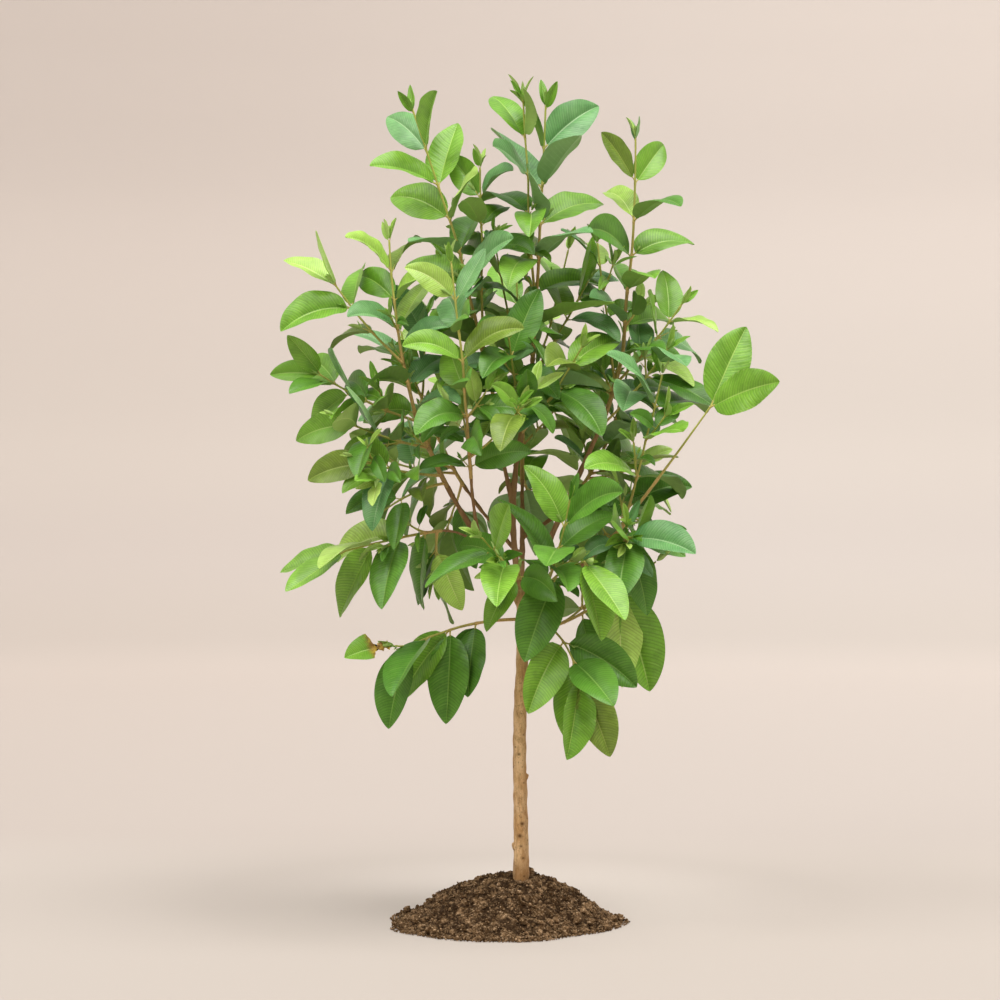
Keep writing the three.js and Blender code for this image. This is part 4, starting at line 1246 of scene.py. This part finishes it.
def bud_leaves(point, along, side, dice, size):
    """A growing point: a narrow upright pair of folded leaves, and a smaller one crossed inside it."""
    made = []
    for level, (share, lean) in enumerate(((1.0, 15), (0.62, 6))):
        for way in (0, 180):
            out = out_from(along, side, 90 * level + way + dice.uniform(-25, 25))
            tilt = math.radians(lean * dice.uniform(0.4, 2.0))
            direction = (along * math.cos(tilt) + out * math.sin(tilt)).normalized()
            normal = square_to(along * 0.6 - out, direction)
            length = size * share * dice.uniform(0.65, 1.2)
            root = point - direction * BUD_SUNK
            leaf = dict(root=root, direction=direction, normal=normal, length=length)
            leaf.update(droop=dice.uniform(-0.2, 0.3), fold=dice.uniform(30, 52))
            made.append(dict(leaf, width=dice.uniform(0.12, 0.18)))
    return made


LOW_LEAVES = (440, 600)  # up to the first height half the leaves are mature before chance deals out the rest


def tone_of(leaf, dice):
    """Young at the shoots' ends, and dealt out by chance below."""
    chance = dice.random()
    height = min(1.0, max(0.0, (leaf["root"].z - LOW_LEAVES[0]) / (LOW_LEAVES[1] - LOW_LEAVES[0])))
    if chance > 0.5 + 0.5 * height:
        return "mature"
    chance = dice.random()
    if leaf["bud"]:
        return "young" if chance < 0.55 else "bright"
    top = leaf["share"]
    if chance < 0.04 + 0.26 * top ** 2:
        return "young"
    if chance < 0.34 + 0.3 * top:
        return "bright"
    if chance < 0.74:
        return "mature"
    if chance < 0.95:
        return "bluish_sheen"
    return "olive"


# The tone of the last pair on some shoots, by their mass and their row in it.
TIP_TONES = {
    ("crown_left", 1): "young",
    ("crown_left", 0): "young",
    ("crown_top_left", 0): "bright",
    ("crown_top", 0): "bright",
    ("crown_right", 0): "bluish_sheen",
    ("crown_right_arm", 0): "bright",
    ("crown_low_left", 0): "bright",
    ("crown_low_front", 0): "mature",
    ("crown_low_front", 2): "bright",
    ("crown_skirt_left", 0): "mature",
    ("crown_skirt_left", 1): "bright",
}
# The tones of a whole shoot's leaves in the order they stand on it.
SHOOT_TONES = {("crown_skirt_right", 0): ("bright", "mature", "bright", "mature", "olive", "bright")}
TIP_DROOPS = {("crown_low_left", 0): 0.1}  # how far such a pair bends down, as a share of the solid's
CALM = 0.35  # the share of their chance bends that the leaves at the tips and on placed shoots keep
SIDE_BUDS = 0.55  # the share of pairs with a small shoot in an axil
EATEN_LEAF = ("crown_skirt_left", 1)  # the mass and the shoot whose one leaf has been eaten near its base


def dress(mass_name, shoots):
    """Makes one mass's two pieces: its leaves, and its twigs with their petioles."""
    twigs, leaves = Patch(), Patch()
    stems, blades = [], []
    for grown in shoots:
        limb, shoot = grown["limb"], grown["shoot"]
        dice = random.Random(grown["seed"] * 101 + 7)
        shift = Vector((0, 0, 0))
        if "on" in shoot:
            carrier = shoots[shoot["on"]]
            shift = carrier["path"](shoot["at"]) - carrier["limb"].point(shoot["at"])
        path = grown["path"] = smooth_path(grown, shift)
        length = (limb.end - limb.start).length
        count = max(6, int(length / TWIG["step"]))
        ts = np.linspace(0, 1, count)
        radii = np.array([limb.radius(t) for t in ts]) + TWIG["extra"]
        if "on" in shoot:
            radii *= 1 + TWIG["collar"] * np.exp(-ts * length / TWIG["collar_reach"])
        for t in grown["pairs"]:
            radii *= 1 + TWIG["node"] * np.exp(-(((ts - t) * length / TWIG["node_reach"]) ** 2))
        centres = [tuple(path(t)) for t in ts]
        if "on" not in shoot:
            # The mass's stem starts inside its bough.
            centres.insert(0, tuple(path(0) - limb.direction(0) * TWIG["sunk"]))
            radii = np.concatenate([[radii[0]], radii])
        ages = [(age_of(r), 0, 0, 1) for r in radii]
        stems.append((centres, radii, TWIG["sides"], ages, 0.05))
        tint = dice.random()
        for number, leaf in enumerate(grown["leaves"]):
            leaf = dict(leaf, root=path(leaf["t"]))
            kind = "grown" if leaf["length"] > SMALL_LEAF["length"] else "young"
            if kind == "young":
                leaf.update(width=SMALL_LEAF["width"], fold=SMALL_LEAF["fold"])
            tone = tone_of(leaf, dice)
            look = blade_look(dice, leaf["length"], leaf["bud"])
            look["tint"] = 0.5 * look["tint"] + 0.5 * tint
            if leaf["share"] == 1 or "front" in shoot:
                for way in ("sway", "curl", "twist"):
                    look[way] *= CALM
            row = (mass_name, shoots.index(grown))
            if leaf["share"] == 1:
                tone = TIP_TONES.get(row, tone)
                leaf["droop"] *= TIP_DROOPS.get(row, 1)
            if row in SHOOT_TONES:
                tone = SHOOT_TONES[row][number]
            if row == EATEN_LEAF:
                look["eaten"] = True
                leaf.update(length=1.12 * leaf["length"], width=0.3)
            blades.append((leaf, kind, TONE_SLOT[tone], look))
            size = min(1.25, max(0.5, leaf["length"] / USUAL_LEAF))
            end = leaf["root"] + leaf["direction"] * (LEAF["petiole"] + PETIOLE["under"] * leaf["length"])
            end -= leaf["normal"] * PETIOLE["sunk"]
            bend = leaf["root"] + leaf["direction"] * PETIOLE["out"] + leaf["along"] * PETIOLE["along"]
            count = PETIOLE["points"]
            centres = quadratic(leaf["root"], bend, end, count)
            radii = np.linspace(*PETIOLE["radii"], count) * size
            stems.append((centres, radii, 6, [(PETIOLE["age"], 0, 0, 1)] * count, 0.0))
        end_way = limb.direction(1)
        for leaf in bud_leaves(path(1), end_way, grown["side"], dice, dice.uniform(20, 34)):
            blades.append((leaf, "bud", TONE_SLOT["young"], blade_look(dice, leaf["length"], True)))
        for t in grown["pairs"][:-1]:
            if dice.random() < SIDE_BUDS:
                around = shoot["turn"] + dice.choice((0, 180)) + grown["pairs"].index(t) * 90
                add_side_bud(grown, path, t, around, dice, stems, blades)
    # Two charts for each blade, on a sheet where each is about twice as tall as wide.
    columns = math.ceil(math.sqrt(len(blades) * 2 * 2))
    rows = math.ceil(len(blades) * 2 / columns)
    for index, (leaf, kind, slot, look) in enumerate(blades):
        blade(leaves, leaf, kind, slot, (index, columns, rows), look)
    for index, (centres, radii, sides, ages, square) in enumerate(stems):
        tube(twigs, centres, radii, sides, ages, (index, len(stems)), square)
    piece(leaves.make("leaves_" + mass_name, leaf_materials), "foliage", mass_name)
    piece(twigs.make("twigs_" + mass_name, [twig]), "bark", mass_name)


def add_side_bud(grown, path, t, around, dice, stems, blades):
    """A short side shoot in a leaf's axil, with a growing point."""
    limb = grown["limb"]
    along = limb.direction(t)
    out = out_from(along, grown["side"], around)
    way = (along * 0.8 + out * 0.6).normalized()
    start = path(t)
    length = dice.uniform(5, 20)
    end = start + way * (limb.radius(t) + length)
    centres = [tuple(start), tuple(start.lerp(end, 0.5)), tuple(end)]
    stems.append((centres, [0.95, 0.8, 0.6], 6, [(0.1, 0, 0, 1)] * 3, 0.0))
    for leaf in bud_leaves(end, way, out.cross(way), dice, dice.uniform(9, 20)):
        tone = "young" if dice.random() < 0.6 else "bright"
        blades.append((leaf, "bud", TONE_SLOT[tone], blade_look(dice, leaf["length"], True)))


twig = twig_material()
for mass_name, shoots in masses.items():
    dress(mass_name, shoots)

# ---------------------------------------------------------------- bark of trunk and boughs

BARK = dict(voxel=1.15, sides=28, lenticels=46, lenticel=(0.7, 1.9), pit=0.5, collar=0.45, collar_reach=9)
# Its relief: how fast each noise changes across and along the wood, and how high it is.
RIDGES = ((0.22, 0.03, 0.4), (0.7, 0.12, 0.16), (0.05, 0.07, 1.0))
# A stub's reach along its axis, from inside the trunk, and its radii for a size of 1.
STUB = dict(reach=(-4, 3.2), radii=(2.0, 2.1, 2.0, 1.7, 1.25, 0.7), sunk=0.3, rising=0.5)
SCARS = [  # the dark spots on the trunk's front: height, compass angle and size
    dict(height=139, angle=-80, size=3.0),
    dict(height=122, angle=-102, size=3.4),
    dict(height=91, angle=-76, size=2.0),
    dict(height=236, angle=-96, size=1.8),
]


def limb_tube(patch, limb, step, collar):
    """Adds a limb with a ring at each step, thicker by the collar where it leaves another."""
    shares = evenly(20)
    length = sum((limb.point(b) - limb.point(a)).length for a, b in zip(shares, shares[1:]))
    count = max(8, int(length / step))
    ts = np.linspace(0, 1, count)
    radii = np.array([limb.radius(t) for t in ts])
    radii *= 1 + collar * np.exp(-ts * length / BARK["collar_reach"])
    centres = [tuple(limb.point(t)) for t in ts]
    tube(patch, centres, radii, BARK["sides"], [(0, 0, 0, 1)] * count, (0, 1))


def bark():
    """The trunk and boughs as one skin, with stubs of removed shoots, relief and dark spots."""
    patch = Patch()
    limb_tube(patch, trunk, 4, 0)
    for limb in boughs.values():
        limb_tube(patch, limb, 3, BARK["collar"])
    made = patch.make("trunk_and_boughs", [])
    for knob in KNOBS:
        a = math.radians(knob["angle"])
        bump = Patch()
        centre = trunk_side(trunk_share(knob["height"]), a, STUB["sunk"] * knob["size"])
        way = Vector((math.cos(a), math.sin(a), STUB["rising"]))
        radii = knob["size"] * np.array(STUB["radii"])
        ends = [tuple(centre + way * k) for k in np.linspace(*STUB["reach"], len(radii))]
        tube(bump, ends, radii, 12, [(0, 0, 0, 1)] * len(radii), (0, 1))
        stub = bump.make("knob", [])
        with bpy.context.temp_override(active_object=made, selected_editable_objects=[made, stub]):
            bpy.ops.object.join()
    remesh = made.modifiers.new("fuse", "REMESH")
    remesh.mode = "VOXEL"
    remesh.voxel_size = BARK["voxel"] * MM
    smooth = made.modifiers.new("soften", "SMOOTH")
    smooth.factor = 0.5
    smooth.iterations = 4
    mesh = bpy.data.meshes.new_from_object(made.evaluated_get(bpy.context.evaluated_depsgraph_get()))
    made.modifiers.clear()
    made.data = mesh
    mesh.materials.append(bark_material())
    count = len(mesh.vertices)
    points = np.empty(count * 3)
    normals = np.empty(count * 3)
    mesh.vertices.foreach_get("co", points)
    mesh.vertices.foreach_get("normal", normals)
    points, normals = points.reshape(-1, 3) / MM, normals.reshape(-1, 3)
    dice = random.Random(11)
    spots = []
    for _ in range(BARK["lenticels"]):
        share = dice.uniform(0.03, 0.97)
        at = trunk_side(share, dice.uniform(0, 2 * math.pi))
        spots.append((tuple(at), dice.uniform(*BARK["lenticel"])))
    for scar in SCARS:
        at = trunk_side(trunk_share(scar["height"]), math.radians(scar["angle"]))
        spots.append((tuple(at), scar["size"]))
    pit = np.zeros(count)
    for at, size in spots:
        off = (points - at) / (size, size, size * 0.8)
        pit = np.maximum(pit, np.exp(-(off ** 2).sum(1)))
    rough = np.zeros(count)
    for across, up, height in RIDGES:
        for i, p in enumerate(points):
            rough[i] += height * noise.noise(Vector((p[0] * across, p[1] * across, p[2] * up)))
    points += normals * (rough - BARK["pit"] * pit)[:, None]
    mesh.vertices.foreach_set("co", (points * MM).astype(np.float32).ravel())
    point_numbers(mesh, "pit", pit)
    mesh.polygons.foreach_set("use_smooth", np.ones(len(mesh.polygons), bool))
    mesh.update()
    return piece(made, "bark", "trunk", *boughs)


bark()

# ---------------------------------------------------------------- soil

HEAP = dict(rings=124, sectors=380)
# Its clumps: their size, how high they rise, and what clods() says of them on the whole.
CLUMPS = dict(big=(17, 2.6, 0.62), middling=(8, 2.4, 0.6), small=(3.6, 1.3, 0.6))
CLUMP_WARP = 7  # how far their cells are pulled about


def soil_slope(r, a):
    """The heap without its clods, at the share r of its radius in the direction a, as in the source."""
    lumps = sum(size * math.sin(count * a + phase) for count, phase, size in SOIL["lumps"])
    reach = SOIL["radius"] * r * (1 + SOIL["lump"] * lumps * r / 2)
    count, turn = SOIL["bumps"]
    bumps = SOIL["bump"] * math.sin(count * a + turn * r) * math.sin(math.pi * r)
    breadth, skirt = SOIL["dome"]
    dome = (1 - r ** breadth) ** skirt + bumps
    cx, cy = SOIL["centre"]
    x, y = cx * r + reach * math.cos(a), cy * r + reach * math.sin(a)
    return x, y, SOIL["height"] * max(0.0, dome)


GOLDEN_ANGLE = math.pi * (3 - math.sqrt(5))
clod_places = []
for i in range(SOIL["clods"]):
    x, y, _ = soil_slope(SOIL["clod_reach"] * math.sqrt((i + 0.5) / SOIL["clods"]), i * GOLDEN_ANGLE)
    clod_places.append((x, y, between(SOIL["clod_size"], (i * GOLDEN_ANGLE) % 1)))
clod_places = np.array(clod_places)

DIP = dict(place=(0, -20), reach=24, depth=10)  # the hollow in the heap before the trunk's foot


def solid_corner(ring, sector):
    """A corner of the solid's surface: the slope with its clods."""
    r = ring / SOIL["rings"]
    x, y, z = soil_slope(r, sector / SOIL["sectors"] * 2 * math.pi)
    off = np.hypot(x - clod_places[:, 0], y - clod_places[:, 1]) / clod_places[:, 2]
    rise = (SOIL["clod_rise"] * clod_places[:, 2] * np.maximum(0, 1 - off ** 2)).max()
    return np.array((x, y, z + rise * (1 - r ** 6)))


solid_corners = []
for ring in range(SOIL["rings"] + 1):
    solid_corners.append([solid_corner(ring, sector) for sector in range(SOIL["sectors"] + 1)])


def soil_point(r, a):
    """The solid's surface at the share r of its radius in the direction a, with the dip."""
    ring, sector = r * SOIL["rings"], a / (2 * math.pi) * SOIL["sectors"]
    i, j = min(int(ring), SOIL["rings"] - 1), min(int(sector), SOIL["sectors"] - 1)
    inner, outer = (row[j] + (row[j + 1] - row[j]) * (sector - j) for row in solid_corners[i:i + 2])
    x, y, z = inner + (outer - inner) * (ring - i)
    near = math.hypot(x - DIP["place"][0], y - DIP["place"][1]) / DIP["reach"]
    return float(x), float(y), float(z) - DIP["depth"] * math.exp(-near ** 2)


def clods(p, scale):
    """Rounded lumps a cell apart, from 0 in the cracks between them to 1 on top."""
    distances, _ = noise.voronoi(p * (1 / scale))
    return min(1.0, 1.6 * (distances[1] - distances[0])) ** 0.6


def clump(p, kind):
    """How near to a clump's top the point is, from 0 to 1, and how far that lifts it."""
    size, rise, usual = CLUMPS[kind]
    top = clods(p, size)
    return top, rise * (top - usual)


def disc_faces(rings, sectors, under=None):
    """The faces of rings of points round point 0, closed below by a fan round the point under."""
    counts, corners = [], []

    def at(ring, sector):
        return 1 + (ring - 1) * sectors + sector % sectors

    for sector in range(sectors):
        following = sector + 1
        corners += [0, at(1, sector), at(1, following)]
        counts.append(3)
        for ring in range(1, rings):
            outer = ring + 1
            corners += [at(ring, sector), at(outer, sector), at(outer, following), at(ring, following)]
            counts.append(4)
        if under is not None:
            corners += [under, at(rings, following), at(rings, sector)]
            counts.append(3)
    return np.array(counts), np.array(corners)


def soil_heap():
    """The heap's surface with its clumps, closed underneath, and the painted shade of its crevices at each
    point.
    """
    patch = Patch()
    rings, sectors = HEAP["rings"], HEAP["sectors"]
    cx, cy = SOIL["centre"]
    points, crevice_shades = [], []
    for ring in range(rings + 1):
        r = ring / rings
        for sector in range(sectors if ring else 1):
            base = Vector(soil_point(r, sector / sectors * 2 * math.pi))
            warp = Vector((noise.noise(base * 0.09), noise.noise(base * 0.09 + Vector((9, 2, 5))), 0))
            warped = base + warp * CLUMP_WARP
            big, lump = clump(warped, "big")
            middling, lift = clump(warped + Vector((31, 7, 3)), "middling")
            lump += lift
            lump += clump(base + Vector((5, 51, 9)), "small")[1] + 0.8 * noise.noise(base * 0.4)
            edge = min(1.0, (1 - r) * 14)
            # Painted shade for the cracks between the big and middling clumps, darkest where both are
            # deepest.
            crevice_shades.append((1 - big) * 0.6 + (1 - middling) * 0.5)
            out = 3 * noise.noise(base * 0.11) * edge + 3.4 * noise.noise(base * 0.16) * (1 - edge)
            push = (base.xy - Vector((cx, cy))).normalized() * out if ring else Vector((0, 0))
            points.append((base.x + push.x, base.y + push.y, max(0.0, base.z + lump * edge)))
    under = len(points)
    points.append((cx, cy, 0.0))
    points = np.array(points)
    points[under - sectors:under, 2] = 0
    patch.add(points, *disc_faces(rings, sectors, under))
    return patch, [*crevice_shades, 0]


def lump_shape(level):
    """A ball's points and triangles, from a divided icosahedron."""
    g = (1 + math.sqrt(5)) / 2
    corners = [(-1, g, 0), (1, g, 0), (-1, -g, 0), (1, -g, 0)]
    verts = []
    for turn in (0, 1, 2):
        verts += [Vector(c[3 - turn:] + c[:3 - turn]).normalized() for c in corners]
    faces = [
        (0, 11, 5), (0, 5, 1), (0, 1, 7), (0, 7, 10), (0, 10, 11), (1, 5, 9), (5, 11, 4),
        (11, 10, 2), (10, 7, 6), (7, 1, 8), (3, 9, 4), (3, 4, 2), (3, 2, 6), (3, 6, 8),
        (3, 8, 9), (4, 9, 5), (2, 4, 11), (6, 2, 10), (8, 6, 7), (9, 8, 1),
    ]
    for _ in range(level):
        middle = {}

        def half(i, j):
            key = (min(i, j), max(i, j))
            if key not in middle:
                verts.append((verts[i] + verts[j]).normalized())
                middle[key] = len(verts) - 1
            return middle[key]

        faces = [
            small
            for a, b, c in faces
            for ab, bc, ca in [(half(a, b), half(b, c), half(c, a))]
            for small in ((a, ab, ca), (b, bc, ab), (c, ca, bc), (ab, bc, ca))
        ]
    return np.array([tuple(v) for v in verts]), np.array(faces)


# How many, their least and greatest radius, how often a face is divided, how far out they lie as a share
# of the heap's radius, and what share of them is strewn along its rim.
CRUMBS = [
    dict(count=90, size=(3.2, 5.2), level=2, reach=0.99, rim=0.45),
    dict(count=620, size=(1.6, 3.2), level=1, reach=1.04, rim=0.4),
    dict(count=5700, size=(0.7, 1.6), level=0, reach=1.07, rim=0.25),
]
TRUNK_ROOM = 15  # no crumb lies nearer the trunk's axis


def soil_crumbs():
    """Crumbs strewn over the heap, each a ball of its own lumps and stretch."""
    patch = Patch()
    dice = random.Random(23)
    cx, cy = SOIL["centre"]
    for kind in CRUMBS:
        ball, faces = lump_shape(kind["level"])
        for _ in range(kind["count"]):
            r = kind["reach"] * math.sqrt(dice.uniform(0.02, 1))
            if dice.random() < kind["rim"]:
                r = dice.uniform(0.9, kind["reach"])
            a = dice.uniform(0, 2 * math.pi)
            x, y, height = soil_point(min(1, r), a)
            x, y = (c + (v - c) * max(1, r) for c, v in ((cx, x), (cy, y)))
            size = between(kind["size"], dice.random() ** 1.8)
            if math.hypot(x, y) < TRUNK_ROOM + size:
                continue
            angle = dice.uniform(0, 6.3)
            turn = Matrix.Rotation(angle, 3, Vector([dice.uniform(-1, 1) for _ in range(3)]))
            stretch = [dice.uniform(0.75, 1.25) for _ in range(3)]
            shape = []
            seat = Vector([dice.uniform(0, 99) for _ in range(3)])
            for v in ball:
                v = Vector(v)
                push = 1 + 0.5 * noise.noise(v * 1.4 + seat) + 0.22 * noise.noise(v * 3.7 + seat)
                shape.append(tuple(turn @ Vector([v[k] * push * stretch[k] for k in range(3)])))
            shape = np.array(shape) * size
            rise = height + size * dice.uniform(-0.15, 0.35)
            rise = max(rise, -shape[:, 2].min())
            patch.add(shape + (x, y, rise), np.full(len(faces), 3), faces.ravel())
    return patch


heap, crevice_shades = soil_heap()
heap = heap.make("soil_heap", [soil_material("soil")])
# The painted crevice shade, kept for the soil's material.
point_numbers(heap.data, "crevice_shade", crevice_shades)
piece(heap, "soil", "soil_mound")
piece(soil_crumbs().make("soil_crumbs", [soil_material("soil_crumb")]), "soil", "soil_mound")

# ---------------------------------------------------------------- studio

FLOOR_GAP = 0.4  # how far the floor lies below the heap, in millimetres
ROOM = dict(floor=5.0, bend=2.5, top=5.0, bend_steps=12, sectors=96)  # in metres
WALL = [  # the far floor's and the wall's colour by height in metres
    (0.0, (175, 166, 160)),
    (0.12, (168, 160, 154)),
    (0.4, (170, 162, 157)),
    (0.83, (176, 168, 162)),
    (1.85, (191, 182, 176)),
    (2.6, (203, 194, 188)),
]


def studio():
    """A round floor that curves up into a far wall, the same from every side."""
    floor, bend, sectors = ROOM["floor"], ROOM["bend"], ROOM["sectors"]
    profile = [(floor / 2, 0.0), (floor, 0.0)]
    for share in evenly(ROOM["bend_steps"])[1:]:
        a = share * math.pi / 2
        profile.append((floor + bend * math.sin(a), bend - bend * math.cos(a)))
    profile.append((floor + bend, ROOM["top"]))
    points = [(0, 0, -FLOOR_GAP)]
    for radius, height in profile:
        for k in range(sectors):
            a = k / sectors * 2 * math.pi
            points.append((radius / MM * math.cos(a), radius / MM * math.sin(a), height / MM - FLOOR_GAP))
    patch = Patch()
    patch.add(np.array(points), *disc_faces(len(profile), sectors))
    m = Nodes("studio", 0.95, 0.05)
    x, y, z = m.axes(m.place())
    colour = srgb(*WALL[0][1])
    for (low, _), (high, paint) in zip(WALL, WALL[1:]):
        colour = m.mix(m.ramp(z, low, high), colour, srgb(*paint))
    # Painted shade: the floor and wall darker towards the left (-X).
    colour = m.mix(m.ramp(x, -1.8, 1.2, 0.13, 0), colour, srgb(165, 144, 130))
    colour = m.mix(m.ramp(y, 0.5, 1.1, 1, 0), colour, srgb(178, 169, 162))
    # Painted light: the floor paler round and just behind the heap, which lightens the tree's cast shadow
    # there.
    off = m.node("ShaderNodeVectorMath", operation="DISTANCE")
    m.put(off.inputs[0], m.place())
    off.inputs[1].default_value = (0, 0.24, 0)
    colour = m.mix(m.ramp(off.outputs["Value"], 0.1, 0.5, 1, 0), colour, srgb(200, 191, 184))
    made = patch.make("studio_floor", [m.finish(colour)])


studio()


def soft_light(name, azimuth, elevation, strength, spread, colour):
    """A distant soft light from that direction (0 is +X, -90 the front). Angles are in degrees."""
    data = bpy.data.lights.new(name, "SUN")
    data.energy = strength
    data.angle = math.radians(spread)
    data.color = colour
    light = bpy.data.objects.new(name, data)
    a, e = math.radians(azimuth), math.radians(elevation)
    way = Vector((math.cos(a) * math.cos(e), math.sin(a) * math.cos(e), math.sin(e)))
    light.rotation_euler = way.to_track_quat("Z", "Y").to_euler()
    bpy.context.collection.objects.link(light)


SUNLIGHT = (1.0, 0.985, 0.95)
soft_light("key", -56, 68, 3.5, 56, SUNLIGHT)
soft_light("fill", -148, 28, 2.8, 60, SUNLIGHT)

world = bpy.data.worlds.new("sky")
world.use_nodes = True
sky = world.node_tree.nodes["Background"]
sky.inputs["Color"].default_value = (1.0, 0.99, 0.98, 1)
sky.inputs["Strength"].default_value = 0.56
bpy.context.scene.world = world

CAMERA = dict(place=(-0.028, -3.69, 0.591), lens=94.9, sensor=36.0)
camera_data = bpy.data.cameras.new("camera")
camera_data.lens = CAMERA["lens"]
camera_data.sensor_width = CAMERA["sensor"]
camera = bpy.data.objects.new("camera", camera_data)
camera.location = CAMERA["place"]
camera.rotation_euler = (math.pi / 2, 0, 0)
bpy.context.collection.objects.link(camera)
bpy.context.scene.camera = camera
bpy.context.scene.view_settings.view_transform = "Standard"

bpy.context.view_layer.update()
